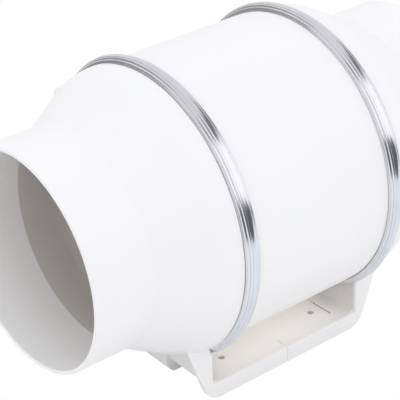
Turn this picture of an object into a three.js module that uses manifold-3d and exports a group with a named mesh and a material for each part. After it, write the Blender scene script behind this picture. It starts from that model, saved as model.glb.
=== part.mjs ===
// Inline duct fan: a mixed-flow fan for 150 mm round duct, on a two-part foot.
// Millimetres. +X is the way the air flows, +Z is up, and the origin is on the mounting plane
// below the middle of the fan. The fan's own axis runs along X at height AXIS_Z.
import * as THREE from 'three';
import { mergeVertices } from 'three/addons/utils/BufferGeometryUtils.js';
import Module from 'manifold-3d';

const wasm = await Module();
wasm.setup();

// ---- driving dimensions -------------------------------------------------------------------
const AXIS_Z = 118; // height of the fan's axis above the mounting plane
const GAP = 0.3; // clearance between pieces that touch
const ROUND = 32; // facets round the large turned parts
const INNER_ROUND = 20; // facets round the parts inside the casing
const SMALL_ROUND = 10; // facets round screws, pins and wires

const SPIGOT_R = 74.4; // outside of the duct spigots
const SPIGOT_END = 160.5; // from the fan's middle to each spigot's rim
const CREASE = 116.5; // from the middle to the crease between spigot and cone
const WALL = 2.8; // moulded wall of the collars and the casing
const SHOULDER = 66.6; // from the middle to the collar's shoulder beside its band
const SHOULDER_R = 97.2;
const SHOULDER_ARC = 34; // radius of the rounding between cone and shoulder
const CONE_ANGLE = THREE.MathUtils.degToRad(29);

const CASE_R = 96.5; // outside of the motor casing
const CASE_IN = CASE_R - WALL;
const BEAD_R = 98.7; // the beads that a band draws together
const BAND_X = 60.3; // from the middle to the middle of each band
const BAND_HALF = 5.7;
const BAND_FLAT = 1.6; // flat lip on each side of a band's crown
const BAND_EDGE_R = 97.8;
const BAND_CREST = 3.6; // height of the crown above the lips
const BAND_SKIN = 0.9;
const BAND_SKIN_X = 0.6; // the skin of the crown's flanks, measured along the axis
const BAND_CREST_R = BAND_EDGE_R + BAND_CREST;
const BAND_GAP_ANGLE = THREE.MathUtils.degToRad(4.6);
const LATCH_ANGLE = THREE.MathUtils.degToRad(-30); // round the axis from +Y towards +Z

const FOOT_HALF = 60.2; // half the width of the foot
const FOOT_WALL = 3;
const FLOOR_TOP = 11.8;
const FLOOR_CORNER = 12.8; // reach of the rounding between the floor and the end wall
const SEAM = 0.5; // where the two halves of the foot meet
const TONGUE_END = 50;
const TONGUE_HALF = 50;
const HOLE_PITCH = 80; // fixing holes, square pattern
const HOLE_R = 2.25;

const HUB_R = 49; // hub of the impeller and of the guide vanes
const BLADES = 8;
const VANES = 11;
const SHAFT_R = 4;
const BEARING_R = 11;
const BEARING_W = 7;
const MOTOR_R = 42.5;
const MOTOR_FRONT = -2.4;
const MOTOR_REAR = 46;

const BOX_HALF_X = 49.2; // terminal box, on the +Y side of the casing
const BOX_HALF_Z = 36.8;
const BOX_OUT = 123.2; // from the fan's axis to the outside of the lid
const BOX_CORNER = 4;
const BOX_WALL = 2.5;
const BOX_SCREW_X = 36; // from the middle to each screw that holds the box to the casing
const SCREW_HOLE_R = 2.1; // clearance holes of the box and motor screws
const GLAND_X = 20;
const GLAND_Y = 107;
const GLAND_BORE = 4;

// ---- finishes -----------------------------------------------------------------------------
function finish(color, roughness, metalness) {
  return new THREE.MeshStandardMaterial({ color, roughness, metalness });
}
const WHITE = finish(0xf4f0eb, 0.4, 0);
const FOOT_WHITE = finish(0xf3efea, 0.45, 0);
const GREY = finish(0xe0d7cb, 0.5, 0);
const CHROME = finish(0xd0d3d6, 0.18, 1);
const STEEL = finish(0xb4b6b8, 0.35, 1);
const DARK_STEEL = finish(0x6c6e71, 0.5, 1);
const COPPER = finish(0xb06a3a, 0.45, 1);
const RUBBER = finish(0x1d1d1f, 0.85, 0);
const TERMINAL = finish(0xd9d6cd, 0.55, 0);

// ---- geometry helpers ---------------------------------------------------------------------
// A closed geometry as a solid whose faces point out.
function toSolid(geometry) {
  const bare = geometry.clone();
  bare.deleteAttribute('normal');
  bare.deleteAttribute('uv');
  const merged = mergeVertices(bare, 1e-4);
  const position = merged.attributes.position;
  const corners = [0, 1, 2].map(() => new THREE.Vector3());
  const triangles = [];
  let volume = 0;
  for (let i = 0; i < merged.index.count; i += 3) {
    const abc = [0, 1, 2].map((k) => merged.index.getX(i + k));
    if (new Set(abc).size < 3) continue;
    abc.forEach((vertex, k) => corners[k].fromBufferAttribute(position, vertex));
    volume += corners[0].dot(corners[1].clone().cross(corners[2]));
    triangles.push(abc);
  }
  if (volume < 0) triangles.forEach((abc) => abc.reverse());
  return new wasm.Manifold(new wasm.Mesh({
    numProp: 3,
    vertProperties: new Float32Array(position.array),
    triVerts: new Uint32Array(triangles.flat()),
  }));
}

function toGeometry(solid) {
  const { vertProperties, triVerts } = solid.getMesh();
  const geometry = new THREE.BufferGeometry();
  geometry.setAttribute('position', new THREE.BufferAttribute(vertProperties, 3));
  geometry.setIndex(new THREE.BufferAttribute(triVerts, 1));
  geometry.computeVertexNormals();
  return geometry;
}

function join(first, ...rest) {
  return rest.reduce((sum, solid) => sum.add(solid), first);
}

function cut(first, ...rest) {
  return rest.reduce((left, solid) => left.subtract(solid), first);
}

// Axis 'x' takes (y, z) outlines, 'y' takes (x, z) outlines and 'z' takes (x, y) outlines.
const BASES = {
  x: [[0, 1, 0], [0, 0, 1], [1, 0, 0]],
  y: [[1, 0, 0], [0, 0, 1], [0, 1, 0]],
  z: [[1, 0, 0], [0, 1, 0], [0, 0, 1]],
};

function along(axis, geometry) {
  const basis = BASES[axis].map((v) => new THREE.Vector3(...v));
  return geometry.applyMatrix4(new THREE.Matrix4().makeBasis(...basis));
}

function extruded(axis, shape, from, to, curveSegments = 3, steps = 1) {
  const geometry = new THREE.ExtrudeGeometry(shape, {
    depth: to - from, bevelEnabled: false, curveSegments, steps,
  });
  geometry.translate(0, 0, from);
  return toSolid(along(axis, geometry));
}

function block(x0, x1, y0, y1, z0, z1) {
  const geometry = new THREE.BoxGeometry(x1 - x0, y1 - y0, z1 - z0);
  return toSolid(geometry.translate((x0 + x1) / 2, (y0 + y1) / 2, (z0 + z1) / 2));
}

// A round bar along an axis; u and v place it across that axis, in the order of BASES.
function rod(axis, radius, from, to, u = 0, v = 0, segments = SMALL_ROUND) {
  const geometry = new THREE.CylinderGeometry(radius, radius, to - from, segments);
  geometry.rotateX(Math.PI / 2).translate(u, v, (from + to) / 2);
  return toSolid(along(axis, geometry));
}

// A body turned about X from [x, radius] points, on the axis at both ends or closed on itself.
function turned(points, segments = ROUND) {
  const profile = points.map(([x, r]) => new THREE.Vector2(r, x));
  const onAxis = points[0][1] === 0 && points[points.length - 1][1] === 0;
  if (!onAxis) profile.push(profile[0].clone());
  return toSolid(new THREE.LatheGeometry(profile, segments).rotateZ(-Math.PI / 2));
}

function tube(radius, bore, from, to, segments = ROUND) {
  return turned([[from, bore], [from, radius], [to, radius], [to, bore]], segments);
}

function outline(points) {
  return new THREE.Shape(points.map(([u, v]) => new THREE.Vector2(u, v)));
}

function roundedRectangle(halfU, halfV, radius) {
  const shape = new THREE.Shape();
  const quarter = Math.PI / 2;
  const corners = [[1, 1, 0], [-1, 1, 1], [-1, -1, 2], [1, -1, 3]];
  for (const [u, v, turn] of corners) {
    const centre = [u * (halfU - radius), v * (halfV - radius)];
    shape.absarc(...centre, radius, turn * quarter, (turn + 1) * quarter, false);
  }
  return shape;
}

function arcPoints(centre, radius, fromAngle, toAngle, steps) {
  return Array.from({ length: steps + 1 }, (_, i) => {
    const angle = fromAngle + ((toAngle - fromAngle) * i) / steps;
    return [centre[0] + radius * Math.cos(angle), centre[1] + radius * Math.sin(angle)];
  });
}

function polar(radius, degrees) {
  const angle = THREE.MathUtils.degToRad(degrees);
  return [radius * Math.cos(angle), radius * Math.sin(angle)];
}

const mirroredX = (solid) => solid.mirror([1, 0, 0]);
const spun = (solid, degrees) => solid.rotate([degrees, 0, 0]);

const assembly = new THREE.Group();
const fan = new THREE.Group(); // everything that is placed from the fan's own axis
fan.position.z = AXIS_Z;
const foot = new THREE.Group(); // placed from the mounting plane
assembly.add(fan, foot);

function piece(parent, name, solid, material) {
  const mesh = new THREE.Mesh(toGeometry(solid), material);
  mesh.name = name;
  parent.add(mesh);
  return mesh;
}

// ---- collars ------------------------------------------------------------------------------
// A collar's skin, offset outwards, from the spigot's rim to the shoulder.
function collarSkin(offset, steps = 4) {
  const crease = CREASE + offset * Math.tan(CONE_ANGLE / 2);
  const centre = [SHOULDER, SHOULDER_R - SHOULDER_ARC];
  const start = Math.PI / 2 - CONE_ANGLE;
  return [
    [SPIGOT_END, SPIGOT_R + offset],
    [crease, SPIGOT_R + offset],
    ...arcPoints(centre, SHOULDER_ARC + offset, start, Math.PI / 2, steps),
  ];
}

const COLLAR_FACE = 61.6; // the collar's end face, against the gasket
const BEAD_BACK = 62.7;

function outletCollar() {
  const inside = collarSkin(-WALL).reverse();
  return turned([
    ...collarSkin(0),
    [SHOULDER - 0.3, CASE_R],
    [BEAD_BACK, CASE_R],
    [BEAD_BACK, BEAD_R],
    [COLLAR_FACE, BEAD_R],
    [COLLAR_FACE, SHOULDER_R - WALL],
    ...inside,
  ]);
}

const collar = outletCollar();
piece(fan, 'outlet_collar', collar, WHITE);
piece(fan, 'inlet_collar', mirroredX(collar), WHITE);

// ---- motor casing -------------------------------------------------------------------------
const CASE_END = 59;
const CASE_BEAD = 57.9;
const LEAD_X = 27; // where the motor's leads cross the air passage
const LEAD_R = 4;

function atBoxScrews(radius, from, to) {
  return [-1, 1].map((side) => rod('y', radius, from, to, side * BOX_SCREW_X, 0));
}

function motorCasing() {
  const shell = turned([
    [-CASE_END, CASE_IN],
    [-CASE_END, BEAD_R],
    [-CASE_BEAD, BEAD_R],
    [-CASE_BEAD, CASE_R],
    [CASE_BEAD, CASE_R],
    [CASE_BEAD, BEAD_R],
    [CASE_END, BEAD_R],
    [CASE_END, CASE_IN],
  ]);
  const leadHole = rod('y', LEAD_R, CASE_IN - 5, CASE_R + 5, LEAD_X, 0);
  return cut(shell, leadHole, ...atBoxScrews(SCREW_HOLE_R, CASE_IN - 5, CASE_R + 5));
}

piece(fan, 'motor_casing', motorCasing(), WHITE);

const gasket = tube(CASE_R - GAP, CASE_IN + 0.5, CASE_END + GAP, COLLAR_FACE - GAP);
piece(fan, 'outlet_gasket', gasket, RUBBER);
piece(fan, 'inlet_gasket', mirroredX(gasket), RUBBER);

// ---- clamp bands --------------------------------------------------------------------------
// The crown is half an ellipse between two flat lips.
function crown(halfWidth, baseR, steps) {
  return Array.from({ length: steps + 1 }, (_, i) => {
    const angle = Math.PI * (1 - i / steps);
    return [BAND_X + halfWidth * Math.cos(angle), baseR + BAND_CREST * Math.sin(angle)];
  });
}

function clampBand() {
  const innerR = BAND_EDGE_R - BAND_SKIN;
  const crownHalf = BAND_HALF - BAND_FLAT;
  const ring = turned([
    [BAND_X - BAND_HALF, innerR],
    [BAND_X - BAND_HALF, BAND_EDGE_R],
    ...crown(crownHalf, BAND_EDGE_R, 6),
    [BAND_X + BAND_HALF, BAND_EDGE_R],
    [BAND_X + BAND_HALF, innerR],
    ...crown(crownHalf - BAND_SKIN_X, innerR, 4).reverse(),
  ]);
  const reach = BAND_CREST_R + 5;
  const halfOpening = reach * Math.tan(BAND_GAP_ANGLE / 2);
  const wedge = extruded('x', outline([[0, 0], [reach, -halfOpening], [reach, halfOpening]]),
    BAND_X - BAND_HALF - 1, BAND_X + BAND_HALF + 1);
  return cut(ring, spun(wedge, THREE.MathUtils.radToDeg(LATCH_ANGLE)));
}

const band = clampBand();
piece(fan, 'rear_band', band, CHROME);
piece(fan, 'front_band', mirroredX(band), CHROME);

// ---- band latches -------------------------------------------------------------------------
// In a latch's own group +Y points out from the fan's axis, +Z along the band, and X = 0 is the
// band's middle. The pivot bracket is on one end of the band and the hook on the other.
const PLATE_IN = BAND_CREST_R + GAP;
const PLATE_OUT = PLATE_IN + 1.4;
const PIVOT = { y: 107.8, z: -8 };
const LINK_PIVOT = { y: 106.8, z: -15.5 };
const LINK_BAR = { y: 106.8, z: 15 };
const WIRE_R = 1;
const PIN_R = 1.5;
const EAR_IN = 4.2;
const EAR_OUT = 5.4;
const LEVER_EAR_IN = 2.6;
const LEVER_EAR_OUT = 3.8;
const LEG_X = 7.8;

function arcPlate(innerR, outerR, fromDegrees, toDegrees, halfWidth) {
  const from = THREE.MathUtils.degToRad(fromDegrees);
  const to = THREE.MathUtils.degToRad(toDegrees);
  const shape = outline([
    ...arcPoints([0, 0], outerR, from, to, 5),
    ...arcPoints([0, 0], innerR, to, from, 5),
  ]);
  return extruded('x', shape, -halfWidth, halfWidth);
}

function onBothSides(shape, innerX, outerX, curveSegments = 5) {
  return [extruded('x', shape, innerX, outerX, curveSegments),
    extruded('x', shape, -outerX, -innerX, curveSegments)];
}

function latchBracket() {
  const ear = new THREE.Shape();
  ear.moveTo(...polar(PLATE_IN + 0.2, -8));
  ear.lineTo(...polar(PLATE_IN + 0.2, -2.6));
  ear.lineTo(PIVOT.y, PIVOT.z + 3.2);
  ear.absarc(PIVOT.y, PIVOT.z, 3.2, Math.PI / 2, -Math.PI / 2, true);
  const pinHole = rod('x', PIN_R + GAP, -8, 8, PIVOT.y, PIVOT.z);
  return cut(join(arcPlate(PLATE_IN, PLATE_OUT, -15, -2.5, EAR_OUT),
    ...onBothSides(ear, EAR_IN, EAR_OUT)), pinHole);
}

function latchHook() {
  const post = outline([
    polar(PLATE_IN + 0.2, 3.6),
    [LINK_BAR.y + 2.4, LINK_BAR.z - WIRE_R - 2.1],
    [LINK_BAR.y + 2.4, LINK_BAR.z - WIRE_R - GAP],
    [LINK_BAR.y - 2.6, LINK_BAR.z - WIRE_R - GAP],
    polar(PLATE_IN + 0.2, 7.6),
  ]);
  return join(arcPlate(PLATE_IN, PLATE_OUT, 2.5, 14, EAR_OUT), extruded('x', post, -4.6, 4.6));
}

function latchPin() {
  const head = rod('x', PIN_R + 0.9, EAR_OUT + GAP, EAR_OUT + GAP + 0.8, PIVOT.y, PIVOT.z);
  const shank = rod('x', PIN_R, -EAR_OUT - 0.8, EAR_OUT + GAP + 0.4, PIVOT.y, PIVOT.z);
  return join(shank, head);
}

const HANDLE_IN = 104.2;
const HANDLE_OUT = 105.8;

function latchLever() {
  const cheek = outline([
    [PIVOT.y + 2.6, PIVOT.z + 1.8],
    [PIVOT.y - 0.8, PIVOT.z + 2.9],
    [PIVOT.y - 3, PIVOT.z + 0.6],
    [LINK_PIVOT.y - 2.1, LINK_PIVOT.z + 0.5],
    polar(HANDLE_IN, -13),
    polar(HANDLE_OUT, -12.2),
    [LINK_PIVOT.y + 2.4, LINK_PIVOT.z - 1],
  ]);
  const handle = arcPlate(HANDLE_IN, HANDLE_OUT, -26, -12, EAR_OUT);
  const lip = arcPlate(HANDLE_IN, HANDLE_OUT + 2.2, -26.8, -25.6, EAR_OUT);
  const bridge = arcPlate(HANDLE_IN, HANDLE_OUT, -12.6, -10.4, LEVER_EAR_OUT);
  const pinHole = rod('x', PIN_R + GAP, -8, 8, PIVOT.y, PIVOT.z);
  const linkHole = rod('x', WIRE_R + GAP, -8, 8, LINK_PIVOT.y, LINK_PIVOT.z);
  const ears = onBothSides(cheek, LEVER_EAR_IN, LEVER_EAR_OUT);
  return cut(join(handle, lip, bridge, ...ears), pinHole, linkHole);
}

// A wire loop: two stubs in the lever, two legs beside the bracket and one bar behind the hook.
function latchLink() {
  const bend = 2;
  const path = new THREE.CurvePath();
  const corners = [
    [LEVER_EAR_IN - 0.6, LINK_PIVOT.y, LINK_PIVOT.z],
    [LEG_X, LINK_PIVOT.y, LINK_PIVOT.z],
    [LEG_X, LINK_BAR.y, LINK_BAR.z],
    [-LEG_X, LINK_BAR.y, LINK_BAR.z],
    [-LEG_X, LINK_PIVOT.y, LINK_PIVOT.z],
    [0.6 - LEVER_EAR_IN, LINK_PIVOT.y, LINK_PIVOT.z],
  ].map((c) => new THREE.Vector3(...c));
  let from = corners[0];
  for (let i = 1; i < corners.length - 1; i += 1) {
    const before = corners[i].clone().lerp(corners[i - 1], bend / corners[i].distanceTo(corners[i - 1]));
    const after = corners[i].clone().lerp(corners[i + 1], bend / corners[i].distanceTo(corners[i + 1]));
    path.add(new THREE.LineCurve3(from, before));
    path.add(new THREE.QuadraticBezierCurve3(before, corners[i], after));
    from = after;
  }
  path.add(new THREE.LineCurve3(from, corners[corners.length - 1]));
  const section = new THREE.Shape();
  section.absarc(0, 0, WIRE_R, 0, 2 * Math.PI, false);
  const wire = new THREE.ExtrudeGeometry(section, { steps: 26, curveSegments: 3, extrudePath: path });
  return toSolid(wire);
}

function addLatch(end, x) {
  const latch = new THREE.Group();
  latch.position.x = x;
  latch.rotation.x = LATCH_ANGLE;
  fan.add(latch);
  piece(latch, `${end}_latch_bracket`, latchBracket(), STEEL);
  piece(latch, `${end}_latch_hook`, latchHook(), STEEL);
  piece(latch, `${end}_latch_pin`, latchPin(), STEEL);
  piece(latch, `${end}_latch_lever`, latchLever(), STEEL);
  piece(latch, `${end}_latch_link`, latchLink(), STEEL);
}

addLatch('front', -BAND_X);
addLatch('rear', BAND_X);

// ---- air path -----------------------------------------------------------------------------
// The inlet ring: a flat flange, a bell mouth and a cone that the blade tips run in.
const THROAT_X = -50.4;
const THROAT_R = 70;
const BELL = 8;
const CONE_END_X = -12;
const CONE_END_R = CASE_IN - GAP - 1.6;

function inletRing() {
  const centre = [THROAT_X, THROAT_R + BELL];
  const mouth = arcPoints(centre, BELL, Math.PI, 1.5 * Math.PI, 4);
  const back = arcPoints(centre, BELL - 1.6, 1.5 * Math.PI, Math.PI, 4);
  return turned([
    [THROAT_X - BELL, CASE_IN - GAP],
    ...mouth,
    [CONE_END_X, CONE_END_R],
    [CONE_END_X, CONE_END_R + 1.6],
    ...back,
    [THROAT_X - BELL + 1.6, CASE_IN - GAP],
  ]);
}
piece(fan, 'inlet_ring', inletRing(), GREY);

const BLADE_FRONT = -48;
const BLADE_BACK = -8;
const HUB_FRONT = -50;
const HUB_BACK = -5;
const HUB_NOSE_R = 21;
const HUB_SKIN = 2.5;

function hubRadius(x) {
  const share = (x - HUB_FRONT) / (HUB_BACK - HUB_FRONT);
  return HUB_NOSE_R + (HUB_R - HUB_NOSE_R) * Math.sin((Math.PI / 2) * share);
}

function shroudRadius(x) {
  const share = (x - THROAT_X) / (CONE_END_X - THROAT_X);
  return THROAT_R + (CONE_END_R - THROAT_R) * share;
}

function hubCurve(offset, from, to, steps = 4) {
  return Array.from({ length: steps + 1 }, (_, i) => {
    const x = from + ((to - from) * i) / steps;
    return [x, hubRadius(x) + offset];
  });
}

function impeller() {
  const hub = turned([
    [HUB_FRONT, SHAFT_R + GAP],
    ...hubCurve(0, HUB_FRONT, HUB_BACK),
    ...hubCurve(-HUB_SKIN, HUB_BACK, HUB_FRONT + 4),
    [HUB_FRONT + 4, 9],
    [HUB_BACK - 2, 9],
    [HUB_BACK - 2, SHAFT_R + GAP],
  ], INNER_ROUND);
  const passage = turned([
    ...hubCurve(-1, BLADE_FRONT, BLADE_BACK, 3),
    [BLADE_BACK, shroudRadius(BLADE_BACK) - 1.2],
    [BLADE_FRONT, shroudRadius(BLADE_FRONT) - 1.2],
  ], INNER_ROUND);
  // A backward-curved blade in the (y, z) plane, twisted along the axis.
  const bend = 62;
  const outer = arcPoints([0, -bend], bend + 1, Math.PI / 2, 0.1, 4);
  const inner = arcPoints([0, -bend], bend - 1, 0.1, Math.PI / 2, 4);
  const blade = new THREE.ExtrudeGeometry(outline([...outer, ...inner]), {
    depth: BLADE_BACK - BLADE_FRONT + 4, bevelEnabled: false, steps: 2,
  });
  blade.translate(22, 4, BLADE_FRONT - 2);
  along('x', blade);
  const position = blade.attributes.position;
  const twistPerMm = THREE.MathUtils.degToRad(0.55);
  const point = new THREE.Vector3();
  const axis = new THREE.Vector3(1, 0, 0);
  for (let i = 0; i < position.count; i += 1) {
    point.fromBufferAttribute(position, i);
    point.applyAxisAngle(axis, twistPerMm * (point.x - BLADE_FRONT));
    position.setXYZ(i, point.x, point.y, point.z);
  }
  const one = toSolid(blade).intersect(passage);
  const blades = Array.from({ length: BLADES }, (_, i) => spun(one, (360 / BLADES) * i));
  return join(hub, ...blades);
}
piece(fan, 'impeller', impeller(), GREY);

const NUT_FRONT = HUB_FRONT - GAP - 6;
piece(fan, 'impeller_nut', cut(rod('x', 7.5, NUT_FRONT, HUB_FRONT - GAP, 0, 0, 6),
  rod('x', SHAFT_R + GAP, NUT_FRONT - 1, HUB_FRONT + 1)), STEEL);

function hubCap() {
  const radius = HUB_NOSE_R - 1;
  const length = 15;
  const skin = 1.6;
  const dome = (edge, depth) => Array.from({ length: 6 }, (_, i) => {
    const angle = (Math.PI / 2) * (1 - i / 5);
    return [HUB_FRONT - GAP - depth * Math.sin(angle), i === 0 ? 0 : edge * Math.cos(angle)];
  });
  return turned([...dome(radius, length), ...dome(radius - skin, length - skin).reverse()], 16);
}
piece(fan, 'hub_cap', hubCap(), GREY);

// ---- motor --------------------------------------------------------------------------------
const MOTOR_SKIN = 2;
const SEAT_R = BEARING_R + GAP;
const BOSS_R = SEAT_R + 2.5;
const MOTOR_SCREW_R = 30; // radius of the circle that the motor's screws stand on
const STATOR_FRONT = 11;
const STATOR_REAR = 33;
const STATOR_IN = 25;
const AIR_GAP = 0.6;

piece(fan, 'shaft', rod('x', SHAFT_R, HUB_FRONT - 8, MOTOR_REAR - 3.6, 0, 0, 20), STEEL);

piece(fan, 'motor_front_shield', turned([
  [MOTOR_FRONT, SHAFT_R + 1.2],
  [MOTOR_FRONT, MOTOR_R],
  [MOTOR_FRONT + MOTOR_SKIN, MOTOR_R],
  [MOTOR_FRONT + MOTOR_SKIN, BOSS_R],
  [MOTOR_FRONT + MOTOR_SKIN + BEARING_W, BOSS_R],
  [MOTOR_FRONT + MOTOR_SKIN + BEARING_W, SEAT_R],
  [MOTOR_FRONT + MOTOR_SKIN, SEAT_R],
  [MOTOR_FRONT + MOTOR_SKIN, SHAFT_R + 1.2],
], INNER_ROUND), STEEL);

function atMotorScrews(radius, from, to) {
  return [0, 1, 2].map((i) => rod('x', radius, from, to, ...polar(MOTOR_SCREW_R, 90 + 120 * i)));
}

function motorCan() {
  const front = MOTOR_FRONT + MOTOR_SKIN + GAP;
  const wall = MOTOR_REAR - 3;
  const can = turned([
    [front, MOTOR_R - MOTOR_SKIN],
    [front, MOTOR_R],
    [MOTOR_REAR, MOTOR_R],
    [MOTOR_REAR, 0],
    [wall, 0],
    [wall, SEAT_R],
    [wall - BEARING_W, SEAT_R],
    [wall - BEARING_W, BOSS_R],
    [wall, BOSS_R],
    [wall, MOTOR_R - MOTOR_SKIN],
  ], INNER_ROUND);
  const leadHole = rod('y', LEAD_R, MOTOR_R - 6, MOTOR_R + 3, LEAD_X, 0);
  return cut(can, leadHole, ...atMotorScrews(SCREW_HOLE_R, wall - 5, MOTOR_REAR + 5));
}
piece(fan, 'motor_can', motorCan(), STEEL);

const bearing = (from) => tube(BEARING_R, SHAFT_R + GAP, from, from + BEARING_W - GAP, 20);
piece(fan, 'front_bearing', bearing(MOTOR_FRONT + MOTOR_SKIN + GAP), CHROME);
piece(fan, 'rear_bearing', bearing(MOTOR_REAR - 3 - BEARING_W), CHROME);

const rotorCore = tube(STATOR_IN - AIR_GAP, SHAFT_R + GAP, STATOR_FRONT - 1, STATOR_REAR + 1, 20);
piece(fan, 'rotor_core', rotorCore, DARK_STEEL);

function statorCore() {
  const ring = tube(MOTOR_R - MOTOR_SKIN - GAP, STATOR_IN, STATOR_FRONT, STATOR_REAR, INNER_ROUND);
  const slots = Array.from({ length: 12 }, (_, i) => spun(
    block(STATOR_FRONT - 1, STATOR_REAR + 1, STATOR_IN + 2.5, STATOR_IN + 10, -3, 3), 30 * i));
  return cut(ring, ...slots);
}
piece(fan, 'stator_core', statorCore(), DARK_STEEL);

// The end of a winding: a ring of elliptical section.
const WINDING_R = 33;
const WINDING_HALF_X = 3.6;
const WINDING_HALF_R = 6;

function winding(middle) {
  const unit = arcPoints([0, 0], 1, 0, 2 * Math.PI * (7 / 8), 7);
  return turned(unit.map(([x, r]) => [
    middle + WINDING_HALF_X * x, WINDING_R + WINDING_HALF_R * r]), 20);
}
piece(fan, 'front_winding', winding(STATOR_FRONT - GAP - WINDING_HALF_X), COPPER);
piece(fan, 'rear_winding', winding(STATOR_REAR + GAP + WINDING_HALF_X), COPPER);

// ---- guide vanes --------------------------------------------------------------------------
const VANE_FRONT = 3;
const VANE_REAR = 48;
const CUP_IN = MOTOR_R + 1.5;
const CUP_REAR = MOTOR_REAR + GAP + 2.6;

function vaneRing() {
  const cup = turned([
    [-2.5, CUP_IN],
    [-2.5, HUB_R],
    [CUP_REAR, HUB_R],
    [CUP_REAR, 14],
    [MOTOR_REAR + GAP, 14],
    [MOTOR_REAR + GAP, CUP_IN],
  ], INNER_ROUND);
  const ring = tube(CASE_IN - GAP, CASE_IN - GAP - 2.2, VANE_FRONT - 3, VANE_REAR);
  // One vane's camber in the (x, z) plane: steep at the impeller, straight at the outlet.
  const length = VANE_REAR - VANE_FRONT;
  const camber = (t) => -17 * (1 - t) * (1 - t);
  const side = (offset, t) => [VANE_FRONT + length * t, camber(t) + offset];
  const stations = [0, 0.25, 0.5, 1];
  const shape = outline([
    ...stations.map((t) => side(-1.1, t)),
    ...stations.map((t) => side(1.1, t)).reverse(),
  ]);
  const passage = tube(CASE_IN - GAP - 1, HUB_R - 2, VANE_FRONT - 1, VANE_REAR + 1);
  const vane = extruded('y', shape, HUB_R - 6, CASE_IN).intersect(passage);
  const vanes = Array.from({ length: VANES }, (_, i) => spun(vane, (360 / VANES) * (i + 0.5)));
  const leadHole = rod('y', LEAD_R, HUB_R - 8, CASE_IN + 3, LEAD_X, 0);
  const screwHoles = atMotorScrews(SCREW_HOLE_R, MOTOR_REAR, CUP_REAR + 3);
  return cut(join(cup, ring, ...vanes), leadHole, ...screwHoles);
}
piece(fan, 'vane_ring', vaneRing(), GREY);

function tailCone() {
  const front = CUP_REAR + GAP;
  const length = 43;
  const skin = 2;
  const curve = (radius, depth) => Array.from({ length: 6 }, (_, i) => {
    const angle = (Math.PI / 2) * (i / 5);
    return [front + depth * Math.sin(angle), i === 5 ? 0 : radius * Math.cos(angle)];
  });
  const inside = curve(HUB_R - skin, length - skin).reverse();
  return turned([...inside, ...curve(HUB_R, length)], INNER_ROUND);
}
piece(fan, 'tail_cone', tailCone(), GREY);

[0, 1, 2].forEach((i) => {
  const [y, z] = polar(MOTOR_SCREW_R, 90 + 120 * i);
  const shank = rod('x', 1.8, MOTOR_REAR - 2.6, CUP_REAR + 1, y, z);
  const head = rod('x', 3.6, CUP_REAR + GAP, CUP_REAR + GAP + 2.4, y, z);
  piece(fan, `motor_screw_${i + 1}`, join(shank, head), STEEL);
});

const leads = cut(rod('y', LEAD_R - GAP, MOTOR_R - 1.4, CASE_R + 4, LEAD_X, 0),
  rod('y', LEAD_R - GAP - 1.2, MOTOR_R - 3, CASE_R + 6, LEAD_X, 0));
piece(fan, 'lead_tube', leads, RUBBER);

// ---- terminal box -------------------------------------------------------------------------
const LID_T = 2.6;
const SEAL_T = 1;
const BOX_TOP = BOX_OUT - LID_T - SEAL_T - 2 * GAP;
const BOX_FLOOR_R = CASE_R + GAP + 3;
const POST_INSET = 6.2;
const POST_R = 3.8;
const POSTS = [[1, 1], [-1, 1], [-1, -1], [1, -1]].map(([u, v]) => [
  u * (BOX_HALF_X - POST_INSET), v * (BOX_HALF_Z - POST_INSET)]);
const screwShanks = (radius, from, to) => POSTS.map(([x, z]) => rod('y', radius, from, to, x, z));

function terminalBox() {
  const outer = extruded('y', roundedRectangle(BOX_HALF_X, BOX_HALF_Z, BOX_CORNER), 80, BOX_TOP);
  const room = roundedRectangle(BOX_HALF_X - BOX_WALL, BOX_HALF_Z - BOX_WALL, BOX_CORNER - BOX_WALL);
  const floor = rod('x', BOX_FLOOR_R, -60, 60, 0, 0, ROUND);
  const posts = screwShanks(POST_R, 80, BOX_TOP + 2);
  const cavity = cut(extruded('y', room, 80, BOX_TOP + 1), floor, ...posts);
  const saddle = rod('x', CASE_R + GAP, -60, 60, 0, 0, ROUND);
  const glandHole = rod('z', 6.2, -BOX_HALF_Z - 2, -BOX_HALF_Z + 8, GLAND_X, GLAND_Y);
  const leadHole = rod('y', LEAD_R, CASE_R - 2, BOX_FLOOR_R + 3, LEAD_X, 0);
  const fixings = atBoxScrews(SCREW_HOLE_R, CASE_R - 2, BOX_FLOOR_R + 3);
  const pilots = screwShanks(1.6, BOX_TOP - 13, BOX_TOP + 2);
  return cut(outer, saddle, cavity, glandHole, leadHole, ...fixings, ...pilots);
}
piece(fan, 'terminal_box', terminalBox(), WHITE);

function lidSeal() {
  const outer = roundedRectangle(BOX_HALF_X - 0.6, BOX_HALF_Z - 0.6, BOX_CORNER - 0.6);
  outer.holes.push(roundedRectangle(BOX_HALF_X - 2.4, BOX_HALF_Z - 2.4, BOX_CORNER - 2.4));
  return extruded('y', outer, BOX_TOP + GAP, BOX_TOP + GAP + SEAL_T, 4);
}
piece(fan, 'lid_seal', lidSeal(), RUBBER);

const LID_IN = BOX_OUT - LID_T;
const lid = extruded('y', roundedRectangle(BOX_HALF_X, BOX_HALF_Z, BOX_CORNER), LID_IN, BOX_OUT);
piece(fan, 'terminal_lid', cut(lid, ...screwShanks(1.7, LID_IN - 1, BOX_OUT + 1),
  ...screwShanks(3.4, BOX_OUT - 1.5, BOX_OUT + 1)), WHITE);

POSTS.forEach(([x, z], i) => {
  const shank = rod('y', 1.3, BOX_TOP - 12, BOX_OUT - 1, x, z);
  const head = rod('y', 3, BOX_OUT - 1.5 + GAP, BOX_OUT - 0.1, x, z);
  piece(fan, `lid_screw_${i + 1}`, join(shank, head), STEEL);
});

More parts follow.
